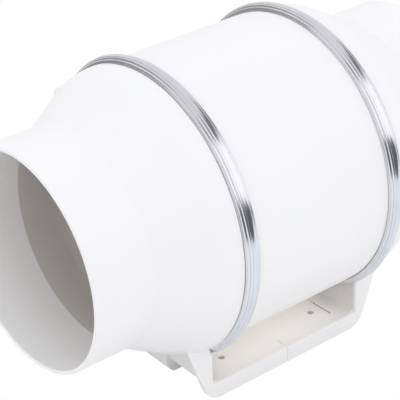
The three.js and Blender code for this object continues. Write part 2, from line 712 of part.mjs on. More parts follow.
[-1, 1].forEach((side, i) => {
  const shank = rod('y', 1.8, CASE_IN + GAP, BOX_FLOOR_R + 1, side * BOX_SCREW_X, 0);
  const head = rod('y', 3.4, BOX_FLOOR_R + GAP, BOX_FLOOR_R + 2.6, side * BOX_SCREW_X, 0);
  piece(fan, `box_screw_${i + 1}`, join(shank, head), STEEL);
});

function terminalBlock() {
  const base = BOX_FLOOR_R + GAP;
  const body = block(-22, 18, base, base + 9, -9, 9);
  const pitch = 7.76;
  const barriers = Array.from({ length: 6 }, (_, i) => {
    const left = -22 + pitch * i;
    return block(left, left + 1.2, base + 8, base + 13, -9, 9);
  });
  return join(body, ...barriers);
}
piece(fan, 'terminal_block', terminalBlock(), TERMINAL);
piece(fan, 'capacitor', block(-20, 16, BOX_FLOOR_R + GAP, BOX_FLOOR_R + 14, 12, 28), DARK_STEEL);

// The gland points down from the box's lower wall.
function turnedDown(points, segments) {
  const profile = [...points, points[0]].map(([z, r]) => new THREE.Vector2(r, z));
  return toSolid(new THREE.LatheGeometry(profile, segments).rotateX(-Math.PI / 2)
    .translate(GLAND_X, GLAND_Y, -BOX_HALF_Z));
}

const GLAND_THREAD_R = 5.9;
const glandBar = (radius, from, to, segments) => rod('z', radius, from - BOX_HALF_Z, to - BOX_HALF_Z,
  GLAND_X, GLAND_Y, segments);

const glandCollar = cut(glandBar(9.6, -4.3, -GAP, 6), glandBar(GLAND_THREAD_R - 0.7, -6, 1, 20));
const glandBody = join(turnedDown([
  [-5.5, 4.7],
  [-5.5, GLAND_THREAD_R],
  [12, GLAND_THREAD_R],
  [12, 4.7],
], 20), glandCollar);
piece(fan, 'gland_body', glandBody, RUBBER);

const locknutFrom = BOX_WALL + GAP;
const glandLocknut = cut(glandBar(9, locknutFrom, locknutFrom + 2.6, 6),
  glandBar(GLAND_THREAD_R + GAP, 0, 9, 20));
piece(fan, 'gland_locknut', glandLocknut, RUBBER);

piece(fan, 'gland_nut', turnedDown([
  [4.6, GLAND_THREAD_R + GAP],
  [4.6, 8.4],
  [11, 8.4],
  [15, 6.6],
  [15, GLAND_BORE + 0.3],
  [12.3, GLAND_BORE + 0.3],
  [12.3, GLAND_THREAD_R + GAP],
], 20), RUBBER);

piece(fan, 'gland_seal', turnedDown([
  [0, GLAND_BORE - 0.2],
  [0, 4.4],
  [11.6, 4.4],
  [11.6, GLAND_BORE - 0.2],
], 20), RUBBER);

// ---- foot ---------------------------------------------------------------------------------
// Both halves are drawn on the +X side; the inlet half is then mirrored.
const FLOOR_IN = FLOOR_TOP - FOOT_WALL;
const SIDE_IN = FOOT_HALF - FOOT_WALL;
const SIDE_TOP = 54.2;
const CHEEK_IN = 63.4; // from the middle to a cheek's inner edge
const LEVER_ROOM_Z = 22; // the cheeks are cut back above this height beside the latch levers
const CROSS_IN = SHOULDER;
const CROSS_OUT = CROSS_IN + FOOT_WALL;
const FLOOR_END = CROSS_OUT - FLOOR_CORNER; // where the floor begins to turn up into the end wall
const BOSS_RADIUS = 6;
const PAD_R = 8; // the central pad that the fan's origin lies on
const MIDDLE_HALF = 20.5; // half the width of the middle foot
const MIDDLE_BACK = 48;
const MIDDLE_POCKET = 61;
const RIB_Y = 17;
const TONGUE_NOTCH = 32; // from the middle to where the cuts at the tongue's end begin
const HALF_PITCH = HOLE_PITCH / 2;

// The rounded toe that the sides and the middle foot share.
function toe(shape) {
  shape.lineTo(57, 0);
  shape.quadraticCurveTo(67.1, 0, 71.2, 11.5);
}

// The side of one half: a low rim that rises to a cheek under the collar.
function sideOutline(from) {
  const shape = new THREE.Shape();
  shape.moveTo(from, 0);
  toe(shape);
  shape.lineTo(86.5, SIDE_TOP);
  shape.lineTo(CHEEK_IN, SIDE_TOP);
  shape.lineTo(CHEEK_IN, FLOOR_TOP);
  shape.lineTo(from, FLOOR_TOP);
  return shape;
}

// The end wall from the side: the floor turns up into it in a rounded corner.
function wallOutline() {
  const inside = FLOOR_CORNER - FOOT_WALL;
  const shape = new THREE.Shape();
  shape.moveTo(FLOOR_END - 2, FLOOR_IN);
  shape.lineTo(FLOOR_END, FLOOR_IN);
  shape.quadraticCurveTo(CROSS_OUT, FLOOR_IN, CROSS_OUT, FLOOR_IN + FLOOR_CORNER);
  shape.lineTo(CROSS_OUT, SIDE_TOP);
  shape.lineTo(CROSS_IN, SIDE_TOP);
  shape.lineTo(CROSS_IN, FLOOR_TOP + inside);
  shape.quadraticCurveTo(CROSS_IN, FLOOR_TOP, FLOOR_END, FLOOR_TOP);
  shape.lineTo(FLOOR_END - 2, FLOOR_TOP);
  return shape;
}

// The middle foot: from the side it has the toe, from the end it has rounded lower corners.
function middleFoot() {
  const side = new THREE.Shape();
  side.moveTo(MIDDLE_BACK, 0);
  toe(side);
  const within = 2; // how far into the wall and the floor it is rooted
  side.lineTo(CROSS_OUT - 0.5, 24);
  side.lineTo(CROSS_OUT - within, 24);
  side.lineTo(CROSS_OUT - within, FLOOR_IN + FLOOR_CORNER);
  side.quadraticCurveTo(CROSS_OUT - within, FLOOR_IN + within, FLOOR_END, FLOOR_IN + within);
  side.lineTo(MIDDLE_BACK, FLOOR_IN + within);
  const end = new THREE.Shape();
  const corner = 5;
  end.moveTo(-MIDDLE_HALF, 30);
  end.lineTo(-MIDDLE_HALF, corner);
  end.quadraticCurveTo(-MIDDLE_HALF, 0, -MIDDLE_HALF + corner, 0);
  end.lineTo(MIDDLE_HALF - corner, 0);
  end.quadraticCurveTo(MIDDLE_HALF, 0, MIDDLE_HALF, corner);
  end.lineTo(MIDDLE_HALF, 30);
  const whole = extruded('y', side, -MIDDLE_HALF, MIDDLE_HALF, 4)
    .intersect(extruded('x', end, MIDDLE_BACK, CROSS_OUT + 5));
  const pocket = block(MIDDLE_BACK - 1, MIDDLE_POCKET, 1 - RIB_Y, RIB_Y - 1, -1, FLOOR_IN);
  return cut(whole, pocket);
}

function collarClearance() {
  const around = turned([
    [SPIGOT_END, 0],
    ...collarSkin(GAP),
    [SHOULDER - 0.3, SHOULDER_R + GAP],
    [SHOULDER - 0.3, BAND_CREST_R + 1],
    [0, BAND_CREST_R + 1],
    [0, 0],
  ], 64);
  return around.translate([0, 0, AXIS_Z]);
}

// A block between two distances from the middle plane, on the side that the sign gives.
function sideBlock(sign, x0, x1, inner, outer, z0, z1) {
  return block(x0, x1, Math.min(sign * inner, sign * outer), Math.max(sign * inner, sign * outer), z0, z1);
}

const onEachSide = (...sizes) => [-1, 1].map((sign) => sideBlock(sign, ...sizes));

function footHalf(from) {
  const sides = [extruded('y', sideOutline(from), SIDE_IN, FOOT_HALF),
    extruded('y', sideOutline(from), -FOOT_HALF, -SIDE_IN)];
  const wall = extruded('y', wallOutline(), -SIDE_IN - 1, SIDE_IN + 1, 5);
  const ribs = onEachSide(from + 8, MIDDLE_BACK + 1, RIB_Y - 1, RIB_Y + 1, 2.5, FLOOR_IN + 0.5);
  const leverRoom = block(0, CROSS_IN - GAP, SIDE_IN - 1, FOOT_HALF + 1, LEVER_ROOM_Z, SIDE_TOP + 1);
  return cut(join(wall, middleFoot(), ...sides, ...ribs), leverRoom);
}

function fixingHoles(x) {
  return [-HALF_PITCH, HALF_PITCH].map((y) => rod('z', HOLE_R, -1, FLOOR_TOP + 1, x, y, 20));
}

function fixingBosses(x, top) {
  return [-HALF_PITCH, HALF_PITCH].map((y) => rod('z', BOSS_RADIUS, 0, top, x, y, 20));
}

// The inlet half carries the central pad and the tongue that lies over the outlet half.
function inletFoot() {
  const half = mirroredX(cut(footHalf(-SEAM + GAP / 2), collarClearance()));
  const floor = block(1 - FLOOR_END, SEAM - GAP / 2, -SIDE_IN - 1, SIDE_IN + 1, FLOOR_IN, FLOOR_TOP);
  const tongue = block(-1, TONGUE_END, -TONGUE_HALF, TONGUE_HALF, FLOOR_IN, FLOOR_TOP);
  const notches = onEachSide(TONGUE_END - 1.4, TONGUE_END + 1, TONGUE_NOTCH, TONGUE_HALF + 1,
    0, FLOOR_TOP + 1);
  const pad = rod('z', PAD_R, 0, FLOOR_IN + 1, 0, 0, 24);
  return cut(join(half, floor, tongue, pad, ...fixingBosses(-HALF_PITCH, FLOOR_IN + 1)),
    ...fixingHoles(-HALF_PITCH), ...fixingHoles(HALF_PITCH), ...notches);
}

function outletFoot() {
  const half = cut(footHalf(SEAM + GAP / 2), collarClearance());
  const from = SEAM + GAP / 2;
  const under = FLOOR_IN - GAP; // top of the plate below the tongue
  const low = under - FOOT_WALL;
  const edge = TONGUE_HALF + GAP;
  const end = TONGUE_END + GAP;
  const riser = FOOT_WALL - GAP;
  const plate = block(from, end + riser, -edge - riser, edge + riser, low, under);
  const margins = onEachSide(from, FLOOR_END - 1, edge, SIDE_IN + 1, FLOOR_IN, FLOOR_TOP);
  const sideRisers = onEachSide(from, end + riser, edge, edge + riser, low, FLOOR_TOP);
  const endFloor = block(end, FLOOR_END - 1, -edge - 1, edge + 1, FLOOR_IN, FLOOR_TOP);
  const endRiser = block(end, end + riser, -edge - 1, edge + 1, low, FLOOR_TOP);
  const padRoom = rod('z', PAD_R + GAP, -1, FLOOR_IN, 0, 0, 24);
  const tongueRoom = block(from - 1, end, -edge, edge, under, FLOOR_TOP + 1);
  return cut(join(cut(half, tongueRoom), plate, endFloor, endRiser, ...margins, ...sideRisers,
    ...fixingBosses(HALF_PITCH, under - 1)), padRoom, ...fixingHoles(HALF_PITCH));
}

piece(foot, 'inlet_foot', inletFoot(), FOOT_WHITE);
piece(foot, 'outlet_foot', outletFoot(), FOOT_WHITE);

export default assembly;
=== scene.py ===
"""The looks of an inline duct fan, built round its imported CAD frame.

Metres in Blender; the helper functions take millimetres. +X is the way the air flows, +Z is up, and
the fan's axis runs along X. Outlines are (x, radius), or across the direction that they are drawn in.
"""

import math

import bmesh
import bpy
from mathutils import Matrix, Vector


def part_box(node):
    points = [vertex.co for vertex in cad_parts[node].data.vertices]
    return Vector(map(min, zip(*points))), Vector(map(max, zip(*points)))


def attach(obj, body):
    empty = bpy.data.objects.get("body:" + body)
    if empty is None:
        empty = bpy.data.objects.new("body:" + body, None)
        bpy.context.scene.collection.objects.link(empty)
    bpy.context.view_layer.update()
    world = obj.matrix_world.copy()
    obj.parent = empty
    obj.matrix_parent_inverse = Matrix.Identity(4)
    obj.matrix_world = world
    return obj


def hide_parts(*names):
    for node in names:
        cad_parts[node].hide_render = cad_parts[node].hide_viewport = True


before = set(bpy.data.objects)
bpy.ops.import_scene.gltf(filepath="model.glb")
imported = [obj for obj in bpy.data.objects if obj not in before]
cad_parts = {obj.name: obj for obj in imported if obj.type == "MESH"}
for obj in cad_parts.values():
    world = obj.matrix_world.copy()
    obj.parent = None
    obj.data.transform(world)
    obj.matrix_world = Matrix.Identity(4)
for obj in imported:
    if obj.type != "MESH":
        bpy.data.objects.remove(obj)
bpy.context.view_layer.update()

MM = 0.001
TAU = 2 * math.pi


def size_of(node):
    """The lowest and highest corner of a CAD node, in millimetres."""
    low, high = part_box(node)
    return low / MM, high / MM


# ---- driving dimensions, in millimetres ---------------------------------------------------
SHAFT_LOW, SHAFT_HIGH = size_of("shaft")
AXIS_Z = round((SHAFT_LOW.z + SHAFT_HIGH.z) / 2, 3)
SPIGOT_END = round(size_of("outlet_collar")[1].x, 3)
SPIGOT_R = 74.4
CREASE = 116.5
WALL = 2.8
SHOULDER = 66.6
SHOULDER_R = 97.2
SHOULDER_ARC = 34
CONE_ANGLE = math.radians(29)
CASE_R = 96.5
CASE_IN = CASE_R - WALL
CASE_END = 59
COLLAR_FACE = 61.6
BEAD_R = 98.7
BEAD_WIDTH = 1.1

BAND_LOW, BAND_HIGH = size_of("rear_band")
BAND_X = (BAND_LOW.x + BAND_HIGH.x) / 2
BAND_HALF = (BAND_HIGH.x - BAND_LOW.x) / 2
BAND_CREST_R = BAND_HIGH.z - AXIS_Z
BAND_EDGE_R = 97.8
BAND_FLAT = 0.6
BAND_SKIN = 0.9
BAND_SKIN_X = 0.5
BAND_GAP_ANGLE = math.radians(4.6)
LATCH_ANGLE = math.radians(-30)

FOOT_HALF = round(size_of("inlet_foot")[1].y, 3)
FOOT_WALL = 3
FLOOR_TOP = 11.8
FLOOR_CORNER = 12.8
SEAM = 0.5
SEAM_GAP = 0.3
TONGUE_END = 50
TONGUE_HALF = 50
HALF_PITCH = 40
HOLE_R = 2.25

BOX_LOW, BOX_HIGH = size_of("terminal_box")
BOX_OUT = round(size_of("terminal_lid")[1].y, 3)
BOX_HALF_X = (BOX_HIGH.x - BOX_LOW.x) / 2
BOX_HALF_Z = (BOX_HIGH.z - BOX_LOW.z) / 2
BOX_CORNER = 4
BOX_WALL = 2.5

HUB_R = 49
BLADES = 8
VANES = 11
SMOOTH_STEPS = 192


# ---- camera, light and floor --------------------------------------------------------------
CAMERA_AZIMUTH = math.radians(-38.505)
CAMERA_ELEVATION = math.radians(29.843)
CAMERA_ROLL = math.radians(-1.848)
CAMERA_DISTANCE = 1.08452
CAMERA_LENS = 148.9
CAMERA_TARGET = Vector((-0.02194, 0, AXIS_Z * MM - 0.01006))


def make_camera():
    data = bpy.data.cameras.new("camera")
    data.lens = CAMERA_LENS
    data.sensor_width = 36
    data.clip_start = 0.05
    data.clip_end = 30
    camera = bpy.data.objects.new("camera", data)
    bpy.context.scene.collection.objects.link(camera)
    flat = math.cos(CAMERA_ELEVATION)
    back = Vector((
        math.sin(CAMERA_AZIMUTH) * flat,
        -math.cos(CAMERA_AZIMUTH) * flat,
        math.sin(CAMERA_ELEVATION),
    ))
    right = Vector((math.cos(CAMERA_AZIMUTH), math.sin(CAMERA_AZIMUTH), 0))
    up = back.cross(right)
    across = math.cos(CAMERA_ROLL) * right + math.sin(CAMERA_ROLL) * up
    upward = back.cross(across)
    place = Matrix((across, upward, back)).transposed().to_4x4()
    place.translation = CAMERA_TARGET + back * CAMERA_DISTANCE
    camera.matrix_world = place
    bpy.context.scene.camera = camera


def make_area_light(name, place, target, width, height, watts):
    data = bpy.data.lights.new(name, "AREA")
    data.shape = "RECTANGLE"
    data.size = width
    data.size_y = height
    data.energy = watts
    light = bpy.data.objects.new(name, data)
    bpy.context.scene.collection.objects.link(light)
    light.location = place
    light.rotation_mode = "QUATERNION"
    light.rotation_quaternion = (Vector(place) - Vector(target)).to_track_quat("Z", "Y")
    return light


# The studio that shiny metal sees, by direction: azimuth from +X towards +Y and height, in degrees
# (low, high), with the level of grey and how softly the patch ends. Heights count from a line that
# sinks by SINK of the azimuth past SINK_START, for at most SINK_OVER.
PATCHES = [
    ((-112, 10), (48, 76), 0.2, 8),
    ((-134, -6), (14, 55), 1.25, 4),
    ((-138, -10), (-16, 12), 0.12, 4),
    ((100, 146), (23, 55), 0.32, 7),
]
SINK_START, SINK_OVER, SINK = -60, 75, 0.45
STUDIO_GREY = 0.84
STUDIO_TINT = (1.0, 0.985, 1.02, 1)

# The daylight on plain surfaces. From ahead of the inlet it is weaker low down and stronger high up;
# each window is (low, high, soft) along X or Z of the direction.
DAYLIGHT_TINT = (0.955, 0.992, 1.075, 1)
DAYLIGHT_LEVEL = 1.11
AHEAD = (-2, -0.75, 0.5)
LOW_SKY, LOW_LEVEL = (-2, 0.2, 0.25), 0.66
HIGH_SKY, HIGH_LEVEL = (0.45, 0.9, 0.2), 1.12
FLOOR_HALF_M = 0.72


class Graph:
    """Short names for a node tree's sums."""

    def __init__(self, tree):
        self.tree = tree

    def link(self, source, socket):
        if isinstance(source, (int, float)):
            socket.default_value = source
        else:
            self.tree.links.new(source, socket)

    def maths(self, operation, first, second=0.0):
        node = self.tree.nodes.new("ShaderNodeMath")
        node.operation = operation
        self.link(first, node.inputs[0])
        self.link(second, node.inputs[1])
        return node.outputs[0]

    def window(self, value, low, high, soft):
        """1 between low and high, easing to 0 over soft beyond each."""
        ends = []
        for edge, outward in ((low, -1), (high, 1)):
            node = self.tree.nodes.new("ShaderNodeMapRange")
            node.interpolation_type = "SMOOTHSTEP"
            self.link(value, node.inputs["Value"])
            node.inputs["From Min"].default_value = edge
            node.inputs["From Max"].default_value = edge + outward * soft
            node.inputs["To Min"].default_value = 1
            node.inputs["To Max"].default_value = 0
            ends.append(node.outputs["Result"])
        return self.maths("MULTIPLY", *ends)

    def blend(self, share, first, second):
        """first where share is 0 and second where it is 1."""
        kept = self.maths("MULTIPLY", self.maths("SUBTRACT", 1, share), first)
        return self.maths("ADD", kept, self.maths("MULTIPLY", share, second))


def make_world():
    """White to the camera, daylight to plain surfaces, and a studio with dark walls to shiny ones."""
    world = bpy.data.worlds.new("studio")
    bpy.context.scene.world = world
    world.use_nodes = True
    tree = world.node_tree
    tree.nodes.clear()
    graph = Graph(tree)
    place = tree.nodes.new("ShaderNodeTexCoord")
    split = tree.nodes.new("ShaderNodeSeparateXYZ")
    tree.links.new(place.outputs["Generated"], split.inputs[0])
    x, y, z = split.outputs
    turn = graph.maths("MULTIPLY", graph.maths("ARCTAN2", y, x), math.degrees(1))
    past_start = graph.maths("MAXIMUM", graph.maths("SUBTRACT", turn, SINK_START), 0)
    sunk = graph.maths("MULTIPLY", graph.maths("MINIMUM", past_start, SINK_OVER), SINK)
    height = graph.maths("ADD", graph.maths("MULTIPLY", graph.maths("ARCSINE", z), math.degrees(1)), sunk)
    level = STUDIO_GREY
    for azimuths, heights, grey, soft in PATCHES:
        across = graph.window(turn, *azimuths, soft)
        inside = graph.maths("MULTIPLY", across, graph.window(height, *heights, soft))
        level = graph.blend(inside, level, grey)
    studio = tree.nodes.new("ShaderNodeBackground")
    studio.inputs["Color"].default_value = STUDIO_TINT
    graph.link(level, studio.inputs["Strength"])
    ahead = graph.window(x, *AHEAD)
    low = graph.maths("MULTIPLY", ahead, graph.window(z, *LOW_SKY))
    high = graph.maths("MULTIPLY", ahead, graph.window(z, *HIGH_SKY))
    share = graph.blend(high, graph.blend(low, 1.0, LOW_LEVEL), HIGH_LEVEL)
    daylight = tree.nodes.new("ShaderNodeBackground")
    daylight.inputs["Color"].default_value = DAYLIGHT_TINT
    graph.link(graph.maths("MULTIPLY", share, DAYLIGHT_LEVEL), daylight.inputs["Strength"])
    shown = tree.nodes.new("ShaderNodeBackground")
    shown.inputs["Color"].default_value = (1, 1, 1, 1)
    shown.inputs["Strength"].default_value = 1.0
    path = tree.nodes.new("ShaderNodeLightPath")
    output = tree.nodes.new("ShaderNodeOutputWorld")
    surface = daylight.outputs[0]
    for ray, source in (("Is Glossy Ray", studio), ("Is Camera Ray", shown)):
        choose = tree.nodes.new("ShaderNodeMixShader")
        tree.links.new(path.outputs[ray], choose.inputs["Fac"])
        tree.links.new(surface, choose.inputs[1])
        tree.links.new(source.outputs[0], choose.inputs[2])
        surface = choose.outputs[0]
    tree.links.new(surface, output.inputs["Surface"])


def make_floor():
    """A pale floor that looks plain white and still shades what stands on it."""
    half = FLOOR_HALF_M
    mesh = bpy.data.meshes.new("floor")
    corners = [(-half, -half, 0), (half, -half, 0), (half, half, 0), (-half, half, 0)]
    mesh.from_pydata(corners, [], [(0, 1, 2, 3)])
    floor = bpy.data.objects.new("floor", mesh)
    bpy.context.scene.collection.objects.link(floor)
    floor.location.z = -0.0004
    paint = bpy.data.materials.new("pale_floor")
    paint.use_nodes = True
    tree = paint.node_tree
    shader = tree.nodes["Principled BSDF"]
    shader.inputs["Base Color"].default_value = (0.85, 0.85, 0.85, 1)
    shader.inputs["Roughness"].default_value = 0.9
    shader.inputs["Emission Color"].default_value = (1, 1, 1, 1)
    shader.inputs["Emission Strength"].default_value = 0.06
    plain = tree.nodes.new("ShaderNodeEmission")
    plain.inputs["Color"].default_value = (1, 1, 1, 1)
    path = tree.nodes.new("ShaderNodeLightPath")
    choose = tree.nodes.new("ShaderNodeMixShader")
    tree.links.new(path.outputs["Is Camera Ray"], choose.inputs["Fac"])
    tree.links.new(shader.outputs[0], choose.inputs[1])
    tree.links.new(plain.outputs[0], choose.inputs[2])
    tree.links.new(choose.outputs[0], tree.nodes["Material Output"].inputs["Surface"])
    mesh.materials.append(paint)


make_camera()
make_world()
make_floor()
make_area_light("key_light", (-1.1, -1.7, 1.5), (0, 0, 0.1), 1.6, 1.6, 0.15)
make_area_light("mouth_light", (-1.9, -0.5, 1.3), (-0.12, 0, 0.1), 0.9, 0.9, 0.5)
make_area_light("foot_light", (0, 0, 0.0205), (0, 0, 0), 0.11, 0.112, 0.0085)
bpy.context.scene.view_settings.view_transform = "Standard"


# ---- materials ----------------------------------------------------------------------------
def new_material(name, metallic=0.0, roughness=0.4, **sockets):
    """A material, its node tree, its shader and the place on the surface that its textures read."""
    made = bpy.data.materials.new(name)
    made.use_nodes = True
    tree = made.node_tree
    shader = tree.nodes["Principled BSDF"]
    shader.inputs["Metallic"].default_value = metallic
    shader.inputs["Roughness"].default_value = roughness
    for socket, value in sockets.items():
        shader.inputs[socket.replace("_", " ")].default_value = value
    place = tree.nodes.new("ShaderNodeTexCoord").outputs["Object"]
    return made, tree, shader, place


def noise(tree, place, scale, detail=3.0, stretch=(1, 1, 1)):
    """Noise whose scale is in features per metre; stretch squeezes it along an axis."""
    mapping = tree.nodes.new("ShaderNodeMapping")
    mapping.inputs["Scale"].default_value = stretch
    texture = tree.nodes.new("ShaderNodeTexNoise")
    texture.inputs["Scale"].default_value = scale
    texture.inputs["Detail"].default_value = detail
    tree.links.new(place, mapping.inputs["Vector"])
    tree.links.new(mapping.outputs["Vector"], texture.inputs["Vector"])
    return texture.outputs["Fac"]


def tint(tree, shader, value, stops):
    """Colours the surface along a value, by (position, colour) stops."""
    node = tree.nodes.new("ShaderNodeValToRGB")
    elements = node.color_ramp.elements
    while len(elements) < len(stops):
        elements.new(0.5)
    for element, (position, colour) in zip(elements, stops):
        element.position = position
        element.color = (*colour, 1)
    tree.links.new(value, node.inputs["Fac"])
    tree.links.new(node.outputs["Color"], shader.inputs["Base Color"])


def spread(tree, value, low, high):
    """The middle range of a noise, carried over to low to high."""
    node = tree.nodes.new("ShaderNodeMapRange")
    node.inputs["From Min"].default_value = 0.3
    node.inputs["From Max"].default_value = 0.7
    node.inputs["To Min"].default_value = low
    node.inputs["To Max"].default_value = high
    tree.links.new(value, node.inputs["Value"])
    return node.outputs["Result"]


def bump(tree, shader, value, distance, strength=1.0):
    """Relief of that many metres from a 0 to 1 value."""
    node = tree.nodes.new("ShaderNodeBump")
    node.inputs["Distance"].default_value = distance
    node.inputs["Strength"].default_value = strength
    tree.links.new(value, node.inputs["Height"])
    tree.links.new(node.outputs["Normal"], shader.inputs["Normal"])


def shaded(colour, share):
    return tuple(min(1.0, c * share) for c in colour)


def moulded_plastic(name, colour, roughness, grain, grain_depth, mottle=0.03, **sockets):
    """Plastic from a mould: a fine grain, and colour and gloss that drift a little over the surface."""
    made, tree, shader, place = new_material(name, roughness=roughness, **sockets)
    drift = noise(tree, place, 14, 2)
    tint(tree, shader, drift, [(0.3, shaded(colour, 1 - mottle)), (0.7, colour)])
    gloss = noise(tree, place, 55, 4)
    tree.links.new(spread(tree, gloss, roughness * 0.9, roughness * 1.12), shader.inputs["Roughness"])
    bump(tree, shader, noise(tree, place, grain, 2), grain_depth)
    return made


def rolled_band(name, colour):
    """Bright rolled strip: fine lines run round the band, with faint smudges across them."""
    made, tree, shader, place = new_material(name, metallic=1.0, roughness=0.16)
    lines = noise(tree, place, 900, 3, (6, 0.02, 0.02))
    smudge = noise(tree, place, 40, 3)
    tint(tree, shader, smudge, [(0.3, shaded(colour, 0.92)), (0.7, colour)])
    tree.links.new(spread(tree, smudge, 0.12, 0.2), shader.inputs["Roughness"])
    bump(tree, shader, lines, 0.00002, 0.5)
    return made


def plated_steel(name, colour, roughness):
    """Zinc-plated steel: a soft grey with a cloudy spangle and small scratches."""
    made, tree, shader, place = new_material(name, metallic=1.0, roughness=roughness)
    cloud = noise(tree, place, 260, 4)
    tint(tree, shader, cloud, [(0.35, shaded(colour, 0.82)), (0.5, colour), (0.68, shaded(colour, 1.08))])
    tree.links.new(spread(tree, cloud, roughness * 0.8, roughness * 1.3), shader.inputs["Roughness"])
    bump(tree, shader, noise(tree, place, 1500, 2, (1, 0.1, 0.1)), 0.00002, 0.5)
    return made


def copper_wire(name):
    """Enamelled copper: fine turns that run round the winding."""
    made, tree, shader, place = new_material(name, metallic=0.9, roughness=0.35)
    turns = noise(tree, place, 700, 1, (4, 0.3, 0.3))
    tint(tree, shader, turns, [(0.35, (0.28, 0.1, 0.04)), (0.6, (0.62, 0.27, 0.11))])
    bump(tree, shader, turns, 0.0003)
    return made


def laminated_steel(name):
    """A stack of thin sheets: dark lines across the stack."""
    made, tree, shader, place = new_material(name, metallic=0.8, roughness=0.5)
    sheets = noise(tree, place, 1400, 1, (1, 0.01, 0.01))
    tint(tree, shader, sheets, [(0.4, (0.07, 0.07, 0.075)), (0.6, (0.22, 0.22, 0.23))])
    bump(tree, shader, sheets, 0.0001)
    return made


# The record's material slots that show, each with the finish that its pieces wear.
FINISHES = {
    "white_shell": moulded_plastic("white_shell_finish", (0.9, 0.869, 0.825), 0.4, 1800, 0.00003, 0.012,
                                  Specular_IOR_Level=0.25),
    "bright_band": rolled_band("bright_band_finish", (0.78, 0.79, 0.81)),
    "plated_steel": plated_steel("plated_steel_finish", (0.66, 0.67, 0.69), 0.32),
    "bearing_steel": plated_steel("bearing_steel_finish", (0.7, 0.71, 0.73), 0.2),
    "core_steel": laminated_steel("core_steel_finish"),
    "copper_wire": copper_wire("copper_wire_finish"),
    # Partly painted shade: the inner mouldings are real parts, but their darker warm beige stands in for
    # the brownish shade deep inside the casing.
    "grey_moulding": moulded_plastic("shade_toned_moulding_finish", (0.74, 0.68, 0.6), 0.45, 1500, 0.00005, 0.05),
    "black_rubber": moulded_plastic("black_rubber_finish", (0.03, 0.03, 0.032), 0.75, 2200, 0.00005, 0.1),
    "black_nylon": moulded_plastic("black_nylon_finish", (0.04, 0.04, 0.043), 0.42, 1600, 0.00004, 0.1),
    "terminal_moulding": moulded_plastic("terminal_finish", (0.72, 0.7, 0.64), 0.5, 1500, 0.00004, 0.03),
    "capacitor_case": moulded_plastic("capacitor_finish", (0.16, 0.17, 0.18), 0.4, 1500, 0.00004, 0.05),
}


# ---- mesh tools, in millimetres -----------------------------------------------------------
def softened(points, steps=5):
    """A closed outline whose (u, v, radius) corners are rounded; a corner with no radius stays sharp."""
    path = []
    for i, point in enumerate(points):
        corner = Vector(point[:2])
        radius = point[2] if len(point) > 2 else 0
        before = Vector(points[i - 1][:2]) - corner
        after = Vector(points[(i + 1) % len(points)][:2]) - corner
        half = before.angle(after) / 2
        if not radius or half > math.radians(89.5):
            path.append(corner)
            continue
        reach = min(radius / math.tan(half), 0.48 * before.length, 0.48 * after.length)
        start = corner + before.normalized() * reach
        end = corner + after.normalized() * reach
        bisector = (before.normalized() + after.normalized()).normalized()
        centre = corner + bisector * (reach / math.cos(half))
        first = math.atan2(*(start - centre).yx)
        turn = math.atan2(*(end - centre).yx) - first
        turn = (turn + math.pi) % TAU - math.pi
        size = (start - centre).length
        for k in range(steps + 1):
            angle = first + turn * k / steps
            path.append(centre + size * Vector((math.cos(angle), math.sin(angle))))
    return [tuple(p) for p in path]


def arc(centre, radius, first, last, steps):
    return [(centre[0] + radius * math.cos(first + (last - first) * k / steps),
             centre[1] + radius * math.sin(first + (last - first) * k / steps)) for k in range(steps + 1)]


def curve(start, control, end, steps):
    """Points on a quadratic curve, without its start."""
    points = []
    for k in range(1, steps + 1):
        t = k / steps
        points.append(tuple((1 - t) ** 2 * a + 2 * t * (1 - t) * b + t * t * c
                            for a, b, c in zip(start, control, end)))
    return points


def both_sides(low, high):
    """A stretch and its mirror image across 0."""
    return ((low, high), (-high, -low))


def polar(radius, degrees):
    return radius * math.cos(math.radians(degrees)), radius * math.sin(math.radians(degrees))


def tidy(bm):
    bmesh.ops.remove_doubles(bm, verts=bm.verts, dist=1e-4)
    loose = [e for e in bm.edges if not e.link_faces]
    bmesh.ops.delete(bm, geom=loose, context="EDGES")
    stray = [v for v in bm.verts if not v.link_faces]
    bmesh.ops.delete(bm, geom=stray, context="VERTS")
    bmesh.ops.recalc_face_normals(bm, faces=bm.faces)
    return bm


def skinned(loops, closed_round):
    """Closed loops of equal length joined one to the next; open rows of loops get a cap at each end."""
    bm = bmesh.new()
    rings = [[bm.verts.new(p) for p in loop] for loop in loops]
    count = len(rings[0])
    following = rings[1:] + (rings[:1] if closed_round else [])
    for ring, following_ring in zip(rings, following):
        for i in range(count):
            j = (i + 1) % count
            bm.faces.new((ring[i], ring[j], following_ring[j], following_ring[i]))
    if not closed_round:
        bm.faces.new(rings[0])
        bm.faces.new(rings[-1][::-1])
    return tidy(bm)


def turned(profile, steps=SMOOTH_STEPS, first=0.0, sweep=TAU):
    """A body turned about the fan's axis from (x, radius) points."""
    whole = abs(sweep - TAU) < 1e-6
    count = steps if whole else steps + 1
    loops = []
    for k in range(count):
        angle = first + sweep * k / steps
        loops.append([(x, r * math.cos(angle), r * math.sin(angle)) for x, r in profile])
    return skinned(loops, whole)


ACROSS = {
    "x": lambda u, v, w: (w, u, v),
    "y": lambda u, v, w: (u, w, v),
    "z": lambda u, v, w: (u, v, w),
}


def slab(axis, outline, low, high):
    """An outline carried along an axis from low to high."""
    place = ACROSS[axis]
    return skinned([[place(u, v, w) for u, v in outline] for w in (low, high)], False)


def block(x0, x1, y0, y1, z0, z1):
    return slab("z", [(x0, y0), (x1, y0), (x1, y1), (x0, y1)], min(z0, z1), max(z0, z1))


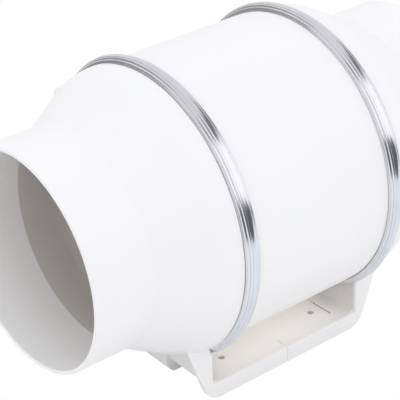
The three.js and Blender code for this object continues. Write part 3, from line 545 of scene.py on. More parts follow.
def rod(axis, radius, low, high, u=0, v=0, steps=48, chamfer=0.0):
    """A round bar, with a small chamfer at both ends if asked."""
    place = ACROSS[axis]
    stations = [(low, radius), (high, radius)]
    if chamfer:
        first = [(low, radius - chamfer), (low + chamfer, radius)]
        stations = first + [(high - chamfer, radius), (high, radius - chamfer)]
    loops = []
    for w, r in stations:
        loops.append([place(u + r * math.cos(TAU * k / steps), v + r * math.sin(TAU * k / steps), w)
                      for k in range(steps)])
    return skinned(loops, False)


def bevelled(bm, width, segments=2, angle=40, where=lambda middle: True):
    """Rounds the edges that turn by more than the angle and whose middle passes the test."""
    limit = math.radians(angle)
    edges = [e for e in bm.edges if len(e.link_faces) == 2 and e.calc_face_angle(0) > limit
             and where((e.verts[0].co + e.verts[1].co) / 2)]
    bmesh.ops.bevel(bm, geom=edges, offset=width, offset_type="OFFSET", segments=segments,
                    profile=0.5, affect="EDGES", clamp_overlap=True)
    return bm


def loose_object(bm, name="tool"):
    mesh = bpy.data.meshes.new(name)
    bm.to_mesh(mesh)
    bm.free()
    made = bpy.data.objects.new(name, mesh)
    bpy.context.scene.collection.objects.link(made)
    return made


def combined(base, tools, operation):
    """base joined with, or cut by, other bodies."""
    host = loose_object(base)
    others = [loose_object(tool) for tool in tools]
    for other in others:
        modifier = host.modifiers.new("combine", "BOOLEAN")
        modifier.operation = operation
        modifier.solver = "EXACT"
        modifier.object = other
    evaluated = host.evaluated_get(bpy.context.evaluated_depsgraph_get())
    bm = bmesh.new()
    bm.from_mesh(evaluated.data)
    for unused in [host, *others]:
        mesh = unused.data
        bpy.data.objects.remove(unused)
        bpy.data.meshes.remove(mesh)
    return bm


def joined(base, *tools):
    return combined(base, tools, "UNION")


def cut(base, *tools):
    return combined(base, tools, "DIFFERENCE")


def gathered(bodies):
    """Bodies that don't touch, as one."""
    bm = bmesh.new()
    for body in bodies:
        mesh = bpy.data.meshes.new("part")
        body.to_mesh(mesh)
        body.free()
        bm.from_mesh(mesh)
        bpy.data.meshes.remove(mesh)
    return bm


def turn_about_axis(bm, degrees):
    turn = Matrix.Rotation(math.radians(degrees), 3, "X")
    bmesh.ops.rotate(bm, verts=bm.verts, cent=(0, 0, 0), matrix=turn)
    return bm


def mirrored_x(bm):
    bmesh.ops.scale(bm, vec=(-1, 1, 1), verts=bm.verts)
    bmesh.ops.reverse_faces(bm, faces=bm.faces)
    return bm


def put(bm, place, direction):
    """A body drawn about the X axis, turned to a direction and moved to its place."""
    turn = Vector((1, 0, 0)).rotation_difference(Vector(direction)).to_matrix().to_4x4()
    turn.translation = Vector(place)
    bmesh.ops.transform(bm, matrix=turn, verts=bm.verts)
    return bm


def wire(path, radius, normal=(0, 1, 0), sides=20):
    """A round wire along a path that lies in the plane across the normal."""
    up = Vector(normal)
    points = [Vector(p) for p in path]
    loops = []
    for i, point in enumerate(points):
        ahead = points[min(i + 1, len(points) - 1)] - points[max(i - 1, 0)]
        side = ahead.normalized().cross(up)
        loops.append([point + radius * (math.cos(TAU * k / sides) * side + math.sin(TAU * k / sides) * up)
                      for k in range(sides)])
    return skinned(loops, False)


def rounded_rectangle(half_u, half_v, radius, steps=8):
    return softened([(half_u, half_v, radius), (-half_u, half_v, radius),
                     (-half_u, -half_v, radius), (half_u, -half_v, radius)], steps)


def piece(name, bm, slot, body="fan_body", nodes=(), level=AXIS_Z, crease=35):
    """The finished piece: scaled to metres, raised to its level, shaded and riding on its body."""
    bmesh.ops.dissolve_degenerate(bm, edges=bm.edges, dist=1e-5)
    bmesh.ops.scale(bm, vec=(MM, MM, MM), verts=bm.verts)
    bmesh.ops.translate(bm, vec=(0, 0, level * MM), verts=bm.verts)
    mesh = bpy.data.meshes.new(name)
    bm.to_mesh(mesh)
    bm.free()
    mesh.materials.clear()
    mesh.materials.append(FINISHES[slot])
    mesh.polygons.foreach_set("use_smooth", [True] * len(mesh.polygons))
    mesh.polygons.foreach_set("material_index", [0] * len(mesh.polygons))
    mesh.set_sharp_from_angle(angle=math.radians(crease))
    made = bpy.data.objects.new(name, mesh)
    bpy.context.scene.collection.objects.link(made)
    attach(made, body)
    if nodes:
        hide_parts(*nodes)
    return made


# ---- collars with the halves of the foot --------------------------------------------------
def collar_skin(offset, steps=14):
    crease = CREASE + offset * math.tan(CONE_ANGLE / 2)
    centre = (SHOULDER, SHOULDER_R - SHOULDER_ARC)
    shoulder = arc(centre, SHOULDER_ARC + offset, math.pi / 2 - CONE_ANGLE, math.pi / 2, steps)
    return [(crease, SPIGOT_R + offset, 2.5), *shoulder]


def collar_body():
    outside = collar_skin(0)
    inside = collar_skin(-WALL)[::-1]
    rim = 1.1
    return turned(softened([
        (SPIGOT_END, SPIGOT_R, rim),
        *outside[:-1],
        (SHOULDER, SHOULDER_R, 0.5),
        (SHOULDER - 0.3, CASE_R, 0.3),
        (COLLAR_FACE + BEAD_WIDTH, CASE_R),
        (COLLAR_FACE + BEAD_WIDTH, BEAD_R, 0.4),
        (COLLAR_FACE, BEAD_R, 0.4),
        (COLLAR_FACE, SHOULDER_R - WALL),
        *inside,
        (SPIGOT_END, SPIGOT_R - WALL, rim),
    ]))


SIDE_IN = FOOT_HALF - FOOT_WALL
FLOOR_IN = FLOOR_TOP - FOOT_WALL
CROSS_OUT = SHOULDER + FOOT_WALL
TOE_START = (57, 0)
TOE_CONTROL = (67.1, 0)
TOE_END = (71.2, 11.5)
CHEEK_TOP = 56
CHEEK_IN = 63.4
MIDDLE_HALF = 20.5
MIDDLE_BACK = 48
RIB_Y = 17
LEVER_ROOM_Z = 22
PAD_R = 8
BOSS_R = 6


def side_outline(start):
    """A side of the foot: its toe curls up to the cheek that rises to the cone."""
    return [(start, 0), TOE_START, *curve(TOE_START, TOE_CONTROL, TOE_END, 12),
            (87.1, CHEEK_TOP), (CHEEK_IN, CHEEK_TOP), (CHEEK_IN, FLOOR_TOP), (start, FLOOR_TOP)]


def corner_between(inset):
    """The rounding from end wall to floor; inset is its depth in from their outer faces."""
    x, z = CROSS_OUT - inset, FLOOR_IN + inset
    reach = FLOOR_CORNER - inset
    return [(x, z + reach), *curve((x, z + reach), (x, z), (x - reach, z), 14)]


def floor_and_wall(start):
    """Floor and end wall from the side."""
    top = CHEEK_TOP - 1
    return [(start, FLOOR_IN), *corner_between(0)[::-1], (CROSS_OUT, top), (SHOULDER, top),
            *corner_between(FOOT_WALL), (start, FLOOR_TOP)]


def middle_foot():
    """A hollow foot in the middle of the end wall, with the toe of the sides."""
    rooted, top, corner, high = 2, 24, 5, 30
    hollow_end = 61
    side = [(MIDDLE_BACK, 0), TOE_START, *curve(TOE_START, TOE_CONTROL, TOE_END, 12),
            (CROSS_OUT - 0.5, top), (CROSS_OUT - rooted, top),
            *corner_between(rooted), (MIDDLE_BACK, FLOOR_IN + rooted)]
    rise = (MIDDLE_HALF, corner)
    half = [(MIDDLE_HALF, high), rise, *curve(rise, (MIDDLE_HALF, 0), (MIDDLE_HALF - corner, 0), 8)]
    end = half + [(-y, z) for y, z in reversed(half)]
    along = slab("x", end, MIDDLE_BACK - 1, CROSS_OUT + 5)
    whole = combined(slab("y", side, -MIDDLE_HALF - 1, MIDDLE_HALF + 1), [along], "INTERSECT")

    def on_front(m):
        return m.x > CROSS_OUT - 12 and m.x > m.z + 45 and 0.05 < m.z < top - 1

    whole = bevelled(whole, 2.2, 5, 35, on_front)
    return cut(whole, block(MIDDLE_BACK - 1, hollow_end, 1 - RIB_Y, RIB_Y - 1, -1, FLOOR_IN))


def collar_core():
    """What the foot is trimmed to: the middle of the collar's wall, and room for the band."""
    half_wall = WALL / 2
    skin = collar_skin(-half_wall)
    side, lip_room, crown_room = BAND_X + BAND_HALF + 0.2, BAND_EDGE_R + 0.3, BAND_CREST_R + 0.4
    crown_side = side - BAND_FLAT
    body = turned(softened([(SPIGOT_END, 0), (SPIGOT_END, SPIGOT_R - half_wall), *skin,
                            (side, SHOULDER_R - half_wall), (side, lip_room), (crown_side, lip_room),
                            (crown_side, crown_room), (0, crown_room), (0, 0)]), 128)
    bmesh.ops.translate(body, vec=(0, 0, AXIS_Z), verts=body.verts)
    return body


def faces_opening(middle):
    """Whether an edge of a side's outline borders the opening over the floor."""
    above_floor = abs(middle.z - FLOOR_TOP) < 0.01 and middle.x < CHEEK_IN
    return above_floor or abs(middle.x - CHEEK_IN) < 0.01


def on_outer_face(middle):
    return abs(abs(middle.y) - FOOT_HALF) < 0.01


def foot_frame(start):
    """Floor, end wall, middle foot, sides and ribs of one half, on the +X side."""
    rolled, outer_edge = 1.2, 0.9
    lever_room = (0, SHOULDER - 0.3, SIDE_IN - 1, FOOT_HALF + 1, LEVER_ROOM_Z, CHEEK_TOP + 1)
    sides = []
    for low, high in both_sides(SIDE_IN, FOOT_HALF):
        side = slab("y", side_outline(start), low, high)
        side = bevelled(side, rolled, 6, 12, lambda m: on_outer_face(m) and faces_opening(m))
        side = bevelled(side, outer_edge, 4, 12, lambda m: on_outer_face(m) and not faces_opening(m))
        sides.append(cut(side, block(*lever_room)) if low > 0 else side)
    wall = slab("y", floor_and_wall(start), -SIDE_IN - 1, SIDE_IN + 1)
    ribs = [block(start + 8, MIDDLE_BACK + 1, y - 1, y + 1, 2.5, FLOOR_IN + 0.5) for y in (-RIB_Y, RIB_Y)]
    return [wall, middle_foot(), *sides, *ribs]


def holes_at(x):
    return [rod("z", HOLE_R, -1, FLOOR_TOP + 1, x, y, 40) for y in (-HALF_PITCH, HALF_PITCH)]


def bosses_at(x, top):
    return [rod("z", BOSS_R, 0, top, x, y, 48) for y in (-HALF_PITCH, HALF_PITCH)]


def inlet_half():
    """Drawn on the +X side and mirrored afterwards, so its tongue points to -X here."""
    start = -SEAM + SEAM_GAP / 2
    body = joined(*foot_frame(start))
    body = cut(body, collar_core())
    tongue = block(-TONGUE_END, start + 2, -TONGUE_HALF, TONGUE_HALF, FLOOR_IN, FLOOR_TOP)
    tongue = bevelled(tongue, 0.35, 2, 40, lambda m: m.x < start and m.z > FLOOR_TOP - 0.1)
    pad = rod("z", PAD_R, 0, FLOOR_IN + 1, 0, 0, 64)
    body = joined(body, tongue, pad, *bosses_at(HALF_PITCH, FLOOR_IN + 1))
    notches = [block(-TONGUE_END - 2, -TONGUE_END + 1.2, y0, y1, 0, FLOOR_TOP + 1)
               for y0, y1 in both_sides(32, TONGUE_HALF + 1)]
    return cut(body, *holes_at(HALF_PITCH), *holes_at(-HALF_PITCH), *notches)


def outlet_half():
    start = SEAM + SEAM_GAP / 2
    under = FLOOR_IN - SEAM_GAP
    edge = TONGUE_HALF + 0.06
    end = TONGUE_END + SEAM_GAP
    riser = FOOT_WALL - SEAM_GAP
    body = cut(joined(*foot_frame(start)), collar_core())
    body = cut(body, block(start - 1, end, -edge, edge, under, FLOOR_TOP + 1))
    plate = block(start, end + riser, -edge - riser, edge + riser, under - FOOT_WALL, under)
    side_risers = [block(start, end + riser, y0, y1, under - FOOT_WALL + 0.01, FLOOR_TOP)
                   for y0, y1 in both_sides(edge, edge + riser)]
    end_riser = block(end, end + riser, -edge - 1, edge + 1, under - FOOT_WALL + 0.01, FLOOR_TOP)
    body = joined(body, plate, end_riser, *side_risers, *bosses_at(HALF_PITCH, under - 1))
    return cut(body, rod("z", PAD_R + SEAM_GAP, -1, FLOOR_IN, 0, 0, 64), *holes_at(HALF_PITCH))


def with_collar(foot):
    """The collar and its half of the foot as the one moulding that they look like."""
    bmesh.ops.translate(foot, vec=(0, 0, -AXIS_Z), verts=foot.verts)
    return joined(collar_body(), foot)


inlet_moulding = mirrored_x(with_collar(inlet_half()))
piece("inlet_moulding", inlet_moulding, "white_shell", nodes=("inlet_collar", "inlet_foot"))
piece("outlet_moulding", with_collar(outlet_half()), "white_shell", nodes=("outlet_collar", "outlet_foot"))


# ---- motor casing -------------------------------------------------------------------------
LEAD_X = 27
LEAD_R = 4
BOX_SCREW_X = 36


def motor_casing():
    bead = CASE_END - BEAD_WIDTH
    shell = turned(softened([
        (-CASE_END, CASE_IN), (-CASE_END, BEAD_R, 0.4), (-bead, BEAD_R, 0.4), (-bead, CASE_R, 0.3),
        (bead, CASE_R, 0.3), (bead, BEAD_R, 0.4), (CASE_END, BEAD_R, 0.4), (CASE_END, CASE_IN),
    ]))
    holes = [rod("y", LEAD_R, CASE_IN - 5, CASE_R + 5, LEAD_X, 0)]
    holes += [rod("y", 2.1, CASE_IN - 5, CASE_R + 5, side * BOX_SCREW_X, 0) for side in (-1, 1)]
    return cut(shell, *holes)


piece("motor_shell", motor_casing(), "white_shell", nodes=("motor_casing",))


# ---- clamp bands --------------------------------------------------------------------------
def rolls(start, end, count, bulge, steps=6):
    """Round rolls one after the other along a straight line, each standing out from it by bulge."""
    start, end = Vector(start), Vector(end)
    along = (end - start) / count
    out = Vector((-along.y, along.x)).normalized()
    radius = (along.length ** 2 / 4 + bulge ** 2) / (2 * bulge)
    spread = math.asin(along.length / 2 / radius)
    facing = math.atan2(out.y, out.x)
    points = []
    for k in range(count):
        centre = start + along * (k + 0.5) + out * (bulge - radius)
        points += arc(centre, radius, facing + spread, facing - spread, steps)
    return points


def clamp_band():
    """A rolled strip: a rounded crown, two small rolls down each flank, open at the latch."""
    crown_half, crown_drop, steps = 2.1, 0.7, 16
    roll_bulge = 0.45
    crown_end = BAND_CREST_R - crown_drop
    foot = BAND_HALF - BAND_FLAT
    inner = BAND_EDGE_R - BAND_SKIN
    half = [(crown_half * k / steps, BAND_CREST_R - crown_drop * (k / steps) ** 2)
            for k in range(steps + 1)]
    half += rolls((crown_half + 0.05, crown_end - 0.2), (foot, BAND_EDGE_R + 0.1), 2, roll_bulge)
    half += [(foot + 0.05, BAND_EDGE_R), (BAND_HALF - 0.25, BAND_EDGE_R),
             (BAND_HALF - 0.05, BAND_EDGE_R - 0.25), (BAND_HALF, inner + 0.2), (BAND_HALF - 0.2, inner),
             (foot - BAND_SKIN_X, inner), (crown_half, crown_end - BAND_SKIN_X - 0.6),
             (0, BAND_CREST_R - BAND_SKIN)]
    other_half = [(-x, r) for x, r in reversed(half[1:-1])]
    outline = [(BAND_X + x, r) for x, r in half + other_half]
    return turned(outline, 300, LATCH_ANGLE + BAND_GAP_ANGLE / 2, TAU - BAND_GAP_ANGLE)


piece("rear_clamp", clamp_band(), "bright_band", nodes=("rear_band",))
piece("front_clamp", mirrored_x(clamp_band()), "bright_band", nodes=("front_band",))


# ---- band latches -------------------------------------------------------------------------
# Drawn with +Y out from the fan's axis, +Z along the band and X = 0 at the band's middle.
PLATE_IN = BAND_CREST_R + 0.3
PLATE_OUT = PLATE_IN + 1.4
PIVOT = (107.8, -8)
LINK_PIVOT = (106.8, -15.5)
LINK_BAR = (106.8, 15)
WIRE_R = 1
PIN_R = 1.5
PIN_ROOM = 0.3
EAR_IN = 4.2
EAR_OUT = 5.4
LEVER_EAR_IN = 2.6
LEVER_EAR_OUT = 3.8
LEG_X = 7.8
HANDLE_IN = 104.2
HANDLE_OUT = 105.8
EDGE = 0.25


def arc_plate(inner, outer, first, last, half_width, edge=EDGE):
    steps = max(6, round(abs(last - first)))
    first, last = math.radians(first), math.radians(last)
    outline = arc((0, 0), outer, first, last, steps) + arc((0, 0), inner, last, first, steps)
    return bevelled(slab("x", outline, -half_width, half_width), edge, 2)


def on_both_sides(outline, inner, outer):
    return [bevelled(slab("x", outline, low, high), EDGE, 2) for low, high in both_sides(inner, outer)]


def pin_hole(place, radius):
    """What is cut away round a pin or a wire's end, with its room."""
    return rod("x", radius + PIN_ROOM, -9, 9, *place, 32)


def latch_bracket():
    base = PLATE_IN + 0.2
    ear = [polar(base, -2.6), *arc(PIVOT, 3.2, math.pi / 2, -math.pi / 2, 14), polar(base, -8)]
    plate = arc_plate(PLATE_IN, PLATE_OUT, -15, -2.5, EAR_OUT)
    welds = [rod("y", 0.9, PLATE_OUT - 0.35, PLATE_OUT + 1, 0, z, 20) for z in (-24, -13)]
    return cut(joined(plate, *on_both_sides(ear, EAR_IN, EAR_OUT)), pin_hole(PIVOT, PIN_R), *welds)


def latch_hook():
    base = PLATE_IN + 0.2
    face = LINK_BAR[1] - WIRE_R - PIN_ROOM
    tip, throat = LINK_BAR[0] + 2.4, LINK_BAR[0] - 2.6
    post = softened([(*polar(base, 3.6), 0), (tip, face - 1.8, 0.6), (tip, face, 0.4),
                     (throat, face, 0.8), (*polar(base, 7.6), 0)], 4)
    plate = arc_plate(PLATE_IN, PLATE_OUT, 2.5, 14, EAR_OUT)
    welds = [rod("y", 0.9, PLATE_OUT - 0.7, PLATE_OUT + 1, x, 20, 20) for x in (-2.5, 2.5)]
    return cut(joined(plate, bevelled(slab("x", post, -4.6, 4.6), EDGE, 2)), *welds)


def latch_pin():
    """A rivet: a domed head on one side and an upset end on the other."""
    head, end = EAR_OUT + PIN_ROOM, -EAR_OUT - 0.8
    shank = [(end, 0), (end, PIN_R - 0.4), (-EAR_OUT - 0.5, PIN_R), (head, PIN_R)]
    body = turned([*shank, (head, PIN_R + 0.9), (head + 0.3, PIN_R + 0.85), (head + 0.65, PIN_R + 0.3),
                   (head + 0.8, 0)], 32)
    bmesh.ops.translate(body, vec=(0, *PIVOT), verts=body.verts)
    return body


def latch_lever():
    y, z = PIVOT
    link_y, link_z = LINK_PIVOT
    cheek = softened([
        (y + 2.6, z + 1.8, 1.2), (y - 0.8, z + 2.9, 1.4), (y - 3, z + 0.6, 1.2),
        (link_y - 2.1, link_z + 0.5, 1.5), (*polar(HANDLE_IN, -13), 0), (*polar(HANDLE_OUT, -12.2), 0),
        (link_y + 2.4, link_z - 1, 1.2)], 4)
    handle = arc_plate(HANDLE_IN, HANDLE_OUT, -26, -12, EAR_OUT, 0.4)
    lip = arc_plate(HANDLE_IN, HANDLE_OUT + 2.2, -26.8, -25.6, EAR_OUT, 0.4)
    bridge = arc_plate(HANDLE_IN, HANDLE_OUT, -12.6, -10.4, LEVER_EAR_OUT, 0.15)
    cheeks = on_both_sides(cheek, LEVER_EAR_IN, LEVER_EAR_OUT)
    return cut(joined(handle, lip, bridge, *cheeks), pin_hole(PIVOT, PIN_R), pin_hole(LINK_PIVOT, WIRE_R))


def latch_link():
    """A bent wire: two stubs in the lever, two legs beside the bracket, one bar behind the hook."""
    bend = 2.0
    y = LINK_PIVOT[0]
    stub, low, high = LEVER_EAR_IN - 0.6, LINK_PIVOT[1], LINK_BAR[1]
    half = [(stub, low)]
    half += arc((LEG_X - bend, low + bend), bend, -math.pi / 2, 0, 8)
    half += arc((LEG_X - bend, high - bend), bend, 0, math.pi / 2, 8)
    path = half + [(-x, z) for x, z in reversed(half)]
    return wire([(x, y, z) for x, z in path], WIRE_R)


LATCH_PARTS = {
    "bracket": latch_bracket,
    "hook": latch_hook,
    "pin": latch_pin,
    "lever": latch_lever,
    "link": latch_link,
}


def add_latch(end, x):
    for part, make in LATCH_PARTS.items():
        body = turn_about_axis(make(), math.degrees(LATCH_ANGLE))
        bmesh.ops.translate(body, vec=(x, 0, 0), verts=body.verts)
        rides = f"{end}_{part}" if part in ("lever", "link") else "fan_body"
        piece(f"{end}_band_{part}", body, "plated_steel", rides, (f"{end}_latch_{part}",))


add_latch("front", -BAND_X)
add_latch("rear", BAND_X)


# ---- air path -----------------------------------------------------------------------------
THROAT_X = -50.4
THROAT_R = 70
BELL = 8
RING_SKIN = 1.6
CONE_END_X = -12
CONE_END_R = CASE_IN - 0.3 - RING_SKIN
HUB_FRONT = -50
HUB_BACK = -5
HUB_NOSE_R = 21
HUB_SKIN = 2.5
BLADE_FRONT = -48
BLADE_BACK = -8
BLADE_BEND = 62
BLADE_CENTRE = (22, -58)
BLADE_TWIST = math.radians(0.55)
NODE_GAP = 0.3


def inlet_ring():
    """The bell mouth and the cone that the impeller turns in."""
    centre = (THROAT_X, THROAT_R + BELL)
    mouth = arc(centre, BELL, math.pi, 1.5 * math.pi, 16)
    back = arc(centre, BELL - RING_SKIN, 1.5 * math.pi, math.pi, 16)
    rim = CASE_IN - NODE_GAP
    return turned([
        (THROAT_X - BELL, rim), *mouth, (CONE_END_X, CONE_END_R),
        (CONE_END_X, CONE_END_R + RING_SKIN), *back, (THROAT_X - BELL + RING_SKIN, rim)], 128)


def hub_radius(x):
    share = (x - HUB_FRONT) / (HUB_BACK - HUB_FRONT)
    return HUB_NOSE_R + (HUB_R - HUB_NOSE_R) * math.sin(math.pi / 2 * share)


def shroud_radius(x):
    return THROAT_R + (CONE_END_R - THROAT_R) * (x - THROAT_X) / (CONE_END_X - THROAT_X)


def hub_curve(offset, first, last, steps=20):
    stations = [first + (last - first) * k / steps for k in range(steps + 1)]
    return [(x, hub_radius(x) + offset) for x in stations]


def blade_point(x, radius, side):
    """A point on the blade's face at a radius; side is its offset across the blade's thickness."""
    distance = math.hypot(*BLADE_CENTRE)
    lean = math.atan2(-BLADE_CENTRE[1], BLADE_CENTRE[0])
    reach = (radius ** 2 - distance ** 2 - BLADE_BEND ** 2) / (2 * BLADE_BEND * distance)
    angle = math.acos(max(-1.0, min(1.0, reach))) - lean
    y = BLADE_CENTRE[0] + (BLADE_BEND + side) * math.cos(angle)
    z = BLADE_CENTRE[1] + (BLADE_BEND + side) * math.sin(angle)
    turn = BLADE_TWIST * (x - BLADE_FRONT)
    return (x, y * math.cos(turn) - z * math.sin(turn), y * math.sin(turn) + z * math.cos(turn))


def blade():
    """One twisted blade: round at its leading edge, thin at its trailing edge."""
    chord, span = 18, 12
    thickest = 1.1
    loops = []
    for j in range(span + 1):
        faces = ([], [])
        for i in range(chord + 1):
            t = i / chord
            x = BLADE_FRONT + (BLADE_BACK - BLADE_FRONT) * (1 - math.cos(math.pi * t)) / 2
            share = (x - BLADE_FRONT) / (BLADE_BACK - BLADE_FRONT)
            half = thickest * min(1, math.sqrt(share * 14 + 0.01)) * (1 - 0.6 * share)
            low = hub_radius(x) - 1.2
            high = shroud_radius(x) - 1.2
            radius = low + (high - low) * j / span
            faces[0].append(blade_point(x, radius, half))
            faces[1].append(blade_point(x, radius, -half))
        loops.append(faces[0] + faces[1][::-1])
    return skinned(loops, False)


def impeller():
    bore, boss = 4.3, 9
    nose = HUB_FRONT + 4
    hub = turned([
        (HUB_FRONT, bore), *hub_curve(0, HUB_FRONT, HUB_BACK), *hub_curve(-HUB_SKIN, HUB_BACK, nose),
        (nose, boss), (HUB_BACK - 2, boss), (HUB_BACK - 2, bore)], 128)
    return joined(hub, *[turn_about_axis(blade(), 360 / BLADES * i) for i in range(BLADES)])


def dome(radius, depth, start, steps=18):
    """Points from the tip on the axis out to the rim; depth is signed."""
    points = []
    for k in range(steps + 1):
        angle = math.pi / 2 * (1 - k / steps)
        points.append((start + depth * math.sin(angle), radius * math.cos(angle) if k else 0))
    return points


def hub_cap():
    front = HUB_FRONT - NODE_GAP
    radius, depth, skin = HUB_NOSE_R - 1, 15, 1.6
    return turned([*dome(radius, -depth, front), *dome(radius - skin, skin - depth, front)[::-1]], 96)


CUP_IN = 44
CUP_REAR = 48.9
MOTOR_REAR = 46
VANE_FRONT = 3
VANE_REAR = 48


def vane():
    """A guide vane across the passage: steep at the impeller and straight at the outlet."""
    length = VANE_REAR - VANE_FRONT
    steps = 20
    sides = ([], [])
    for k in range(steps + 1):
        t = k / steps
        middle = -17 * (1 - t) ** 2
        half = 1.15 * min(1, math.sqrt(t * 12 + 0.02)) * (1 - 0.55 * t)
        for side, points in zip((-1, 1), sides):
            points.append((VANE_FRONT + length * t, middle + side * half))
    return slab("y", sides[0] + sides[1][::-1], HUB_R - 2, CASE_IN - 1.6)


def vane_ring():
    """The motor's cup, held by the vanes in a ring inside the casing."""
    screw_room, cup_front, cup_bore = 2.1, -2.5, 14
    cup_floor = MOTOR_REAR + NODE_GAP
    cup = turned(softened([(cup_front, CUP_IN), (cup_front, HUB_R, 0.5), (CUP_REAR, HUB_R, 0.6),
                           (CUP_REAR, cup_bore), (cup_floor, cup_bore), (cup_floor, CUP_IN)]), 128)
    outer = CASE_IN - NODE_GAP
    inner = outer - 2.2
    ring = turned([(0, inner), (0, outer), (VANE_REAR, outer), (VANE_REAR, inner)], 128)
    vanes = [turn_about_axis(vane(), 360 / VANES * (i + 0.5)) for i in range(VANES)]
    holes = [rod("y", LEAD_R, HUB_R - 8, CASE_IN + 3, LEAD_X, 0)]
    holes += [rod("x", screw_room, MOTOR_REAR, CUP_REAR + 3, *polar(30, 90 + 120 * i)) for i in range(3)]
    return cut(joined(cup, ring, *vanes), *holes)


def tail_cone():
    front = CUP_REAR + NODE_GAP
    depth, skin = 43, 2
    return turned([*dome(HUB_R, depth, front, 30), *dome(HUB_R - skin, depth - skin, front, 30)[::-1]], 128)


def lead_tube():
    radius = LEAD_R - NODE_GAP
    return cut(rod("y", radius, 41.1, 100.5, LEAD_X, 0, 40), rod("y", radius - 1.2, 39, 102, LEAD_X, 0, 32))


piece("bell_mouth", inlet_ring(), "grey_moulding", nodes=("inlet_ring",))
piece("impeller_wheel", impeller(), "grey_moulding", "rotor", ("impeller",))
piece("impeller_cap", hub_cap(), "grey_moulding", "rotor", ("hub_cap",))
piece("guide_vanes", vane_ring(), "grey_moulding", nodes=("vane_ring",))
piece("tail_fairing", tail_cone(), "grey_moulding", nodes=("tail_cone",))
piece("lead_sleeve", lead_tube(), "black_rubber", nodes=("lead_tube",))


# ---- terminal box -------------------------------------------------------------------------
BOX_TOP = round(BOX_HIGH.y, 3)
LID_T = 2.6
SKIRT = 1.2
FLOOR_R = CASE_R + 3.3
POST_INSET = 6.2
POSTS = [(u * (BOX_HALF_X - POST_INSET), v * (BOX_HALF_Z - POST_INSET))
         for u, v in ((1, 1), (-1, 1), (-1, -1), (1, -1))]
GLAND_X = 20
GLAND_Y = 107


def box_outline(inset):
    return rounded_rectangle(BOX_HALF_X - inset, BOX_HALF_Z - inset, BOX_CORNER - inset)


def at_posts(radius, low, high):
    return [rod("y", radius, low, high, x, z, 32) for x, z in POSTS]


def terminal_box():
    outer = slab("y", box_outline(0), 85, BOX_TOP)
    outer = bevelled(outer, 0.4, 3, 40, lambda m: m.y > BOX_TOP - 0.01)
    room = slab("y", box_outline(BOX_WALL), 85, 125)
    floor = rod("x", FLOOR_R, -60, 60, 0, 0, 128)
    room = cut(room, floor, *at_posts(3.8, 80, 126))
    tools = [rod("x", CASE_R + NODE_GAP, -61, 61, 0, 0, 192), room]
    tools += [rod("z", 6.2, -BOX_HALF_Z - 2, -BOX_HALF_Z + 8, GLAND_X, GLAND_Y, 40)]
    tools += [rod("y", LEAD_R, CASE_R - 2, FLOOR_R + 3, LEAD_X, 0, 32)]
    tools += [rod("y", 2.1, CASE_R - 2, FLOOR_R + 3, side * BOX_SCREW_X, 0, 24) for side in (-1, 1)]
    return cut(outer, *tools, *at_posts(1.6, BOX_TOP - 13, BOX_TOP + 2))


def terminal_lid():
    """A plate with a low skirt that hides the seal."""
    low = BOX_OUT - LID_T
    lid = slab("y", box_outline(0), BOX_TOP + 0.05, BOX_OUT)
    lid = bevelled(lid, 0.9, 4, 40, lambda m: m.y > BOX_OUT - 0.01)
    lid = cut(lid, slab("y", box_outline(SKIRT), BOX_TOP - 1, low))
    return cut(lid, *at_posts(1.7, low - 1, BOX_OUT + 1), *at_posts(3.4, BOX_OUT - 1.5, BOX_OUT + 1))


def lid_seal():
    low = BOX_TOP + NODE_GAP
    opening = slab("y", box_outline(BOX_WALL + 0.3), 110, 130)
    return cut(slab("y", box_outline(SKIRT + 0.2), low, low + 1), opening)


def cross_screw(shank_r, head_r, head_low, head_high, shank_low):
    """A pan-head screw along X with a cross recess in its head."""
    edge = 0.35
    body = turned([(shank_low, 0), (shank_low, shank_r), (head_low, shank_r), (head_low, head_r),
                   (head_high - edge, head_r), (head_high - 0.1, head_r - edge), (head_high, head_r * 0.5),
                   (head_high, 0)], 40)
    depth, half, wide = 0.9, head_r * 0.62, head_r * 0.13
    recess = joined(block(head_high - depth, head_high + 1, -half, half, -wide, wide),
                    block(head_high - depth, head_high + 1, -wide, wide, -half, half))
    return cut(body, recess)


def gland_turned(profile, steps=64):
    """A body round the gland's own axis; its profile is (distance below the box, radius)."""
    return put(turned(profile, steps), (GLAND_X, GLAND_Y, -BOX_HALF_Z), (0, 0, -1))


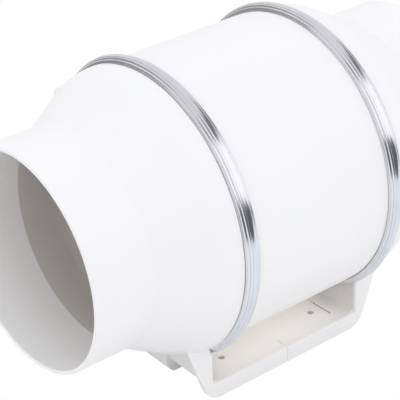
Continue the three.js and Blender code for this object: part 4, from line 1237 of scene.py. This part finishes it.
def gland_body():
    barrel = gland_turned([(-5.5, 4.7), (-5.5, 5.6), (-5.2, 5.9), (11.7, 5.9), (12, 5.6), (12, 4.7)])
    corners = [polar(9.6, 60 * k) for k in range(6)]
    hexagon = [(GLAND_X + x, GLAND_Y + y) for x, y in corners]
    flats = bevelled(slab("z", hexagon, -BOX_HALF_Z - 4.3, -BOX_HALF_Z - NODE_GAP), 0.5, 3)
    return joined(barrel, cut(flats, rod("z", 5.2, -BOX_HALF_Z - 6, -BOX_HALF_Z + 1, GLAND_X, GLAND_Y, 48)))


def gland_nut():
    """A dome nut with grip flutes round it."""
    nut = gland_turned(softened([
        (4.6, 6.2), (4.6, 8.4, 0.4), (11, 8.4, 1.6), (15, 6.6, 0.6),
        (15, 4.3, 0.3), (12.3, 4.3), (12.3, 6.2)], 4))
    flutes = []
    for k in range(18):
        x, y = polar(8.95, 20 * k)
        flutes.append(rod("z", 0.9, -BOX_HALF_Z - 12.5, -BOX_HALF_Z - 5.4, GLAND_X + x, GLAND_Y + y, 16))
    return cut(nut, gathered(flutes))


piece("connection_box", terminal_box(), "white_shell", nodes=("terminal_box",))
piece("connection_lid", terminal_lid(), "white_shell", nodes=("terminal_lid",))
piece("lid_gasket", lid_seal(), "black_rubber", nodes=("lid_seal",))
for i, (x, z) in enumerate(POSTS, 1):
    screw = put(cross_screw(1.3, 3, BOX_OUT - 1.2, BOX_OUT - 0.1, BOX_TOP - 12), (x, 0, z), (0, 1, 0))
    piece(f"lid_fixing_{i}", screw, "plated_steel", nodes=(f"lid_screw_{i}",))
for i, side in enumerate((-1, 1), 1):
    screw = put(cross_screw(1.8, 3.4, FLOOR_R + NODE_GAP, FLOOR_R + 2.6, CASE_IN + NODE_GAP),
                (side * BOX_SCREW_X, 0, 0), (0, 1, 0))
    piece(f"box_fixing_{i}", screw, "plated_steel", nodes=(f"box_screw_{i}",))
piece("cable_gland", gland_body(), "black_nylon", nodes=("gland_body",))
piece("cable_gland_nut", gland_nut(), "black_nylon", nodes=("gland_nut",))
piece("cable_gland_seal", gland_turned([(0, 3.8), (0, 4.4), (11.6, 4.4), (11.6, 3.8)]), "black_rubber",
      nodes=("gland_seal",))


# ---- CAD nodes that stay: pieces inside the motor and the box ------------------------------
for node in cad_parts.values():
    if not node.hide_render:
        slot = node.data.materials[0].name
        node.data.materials[0] = FINISHES[slot]
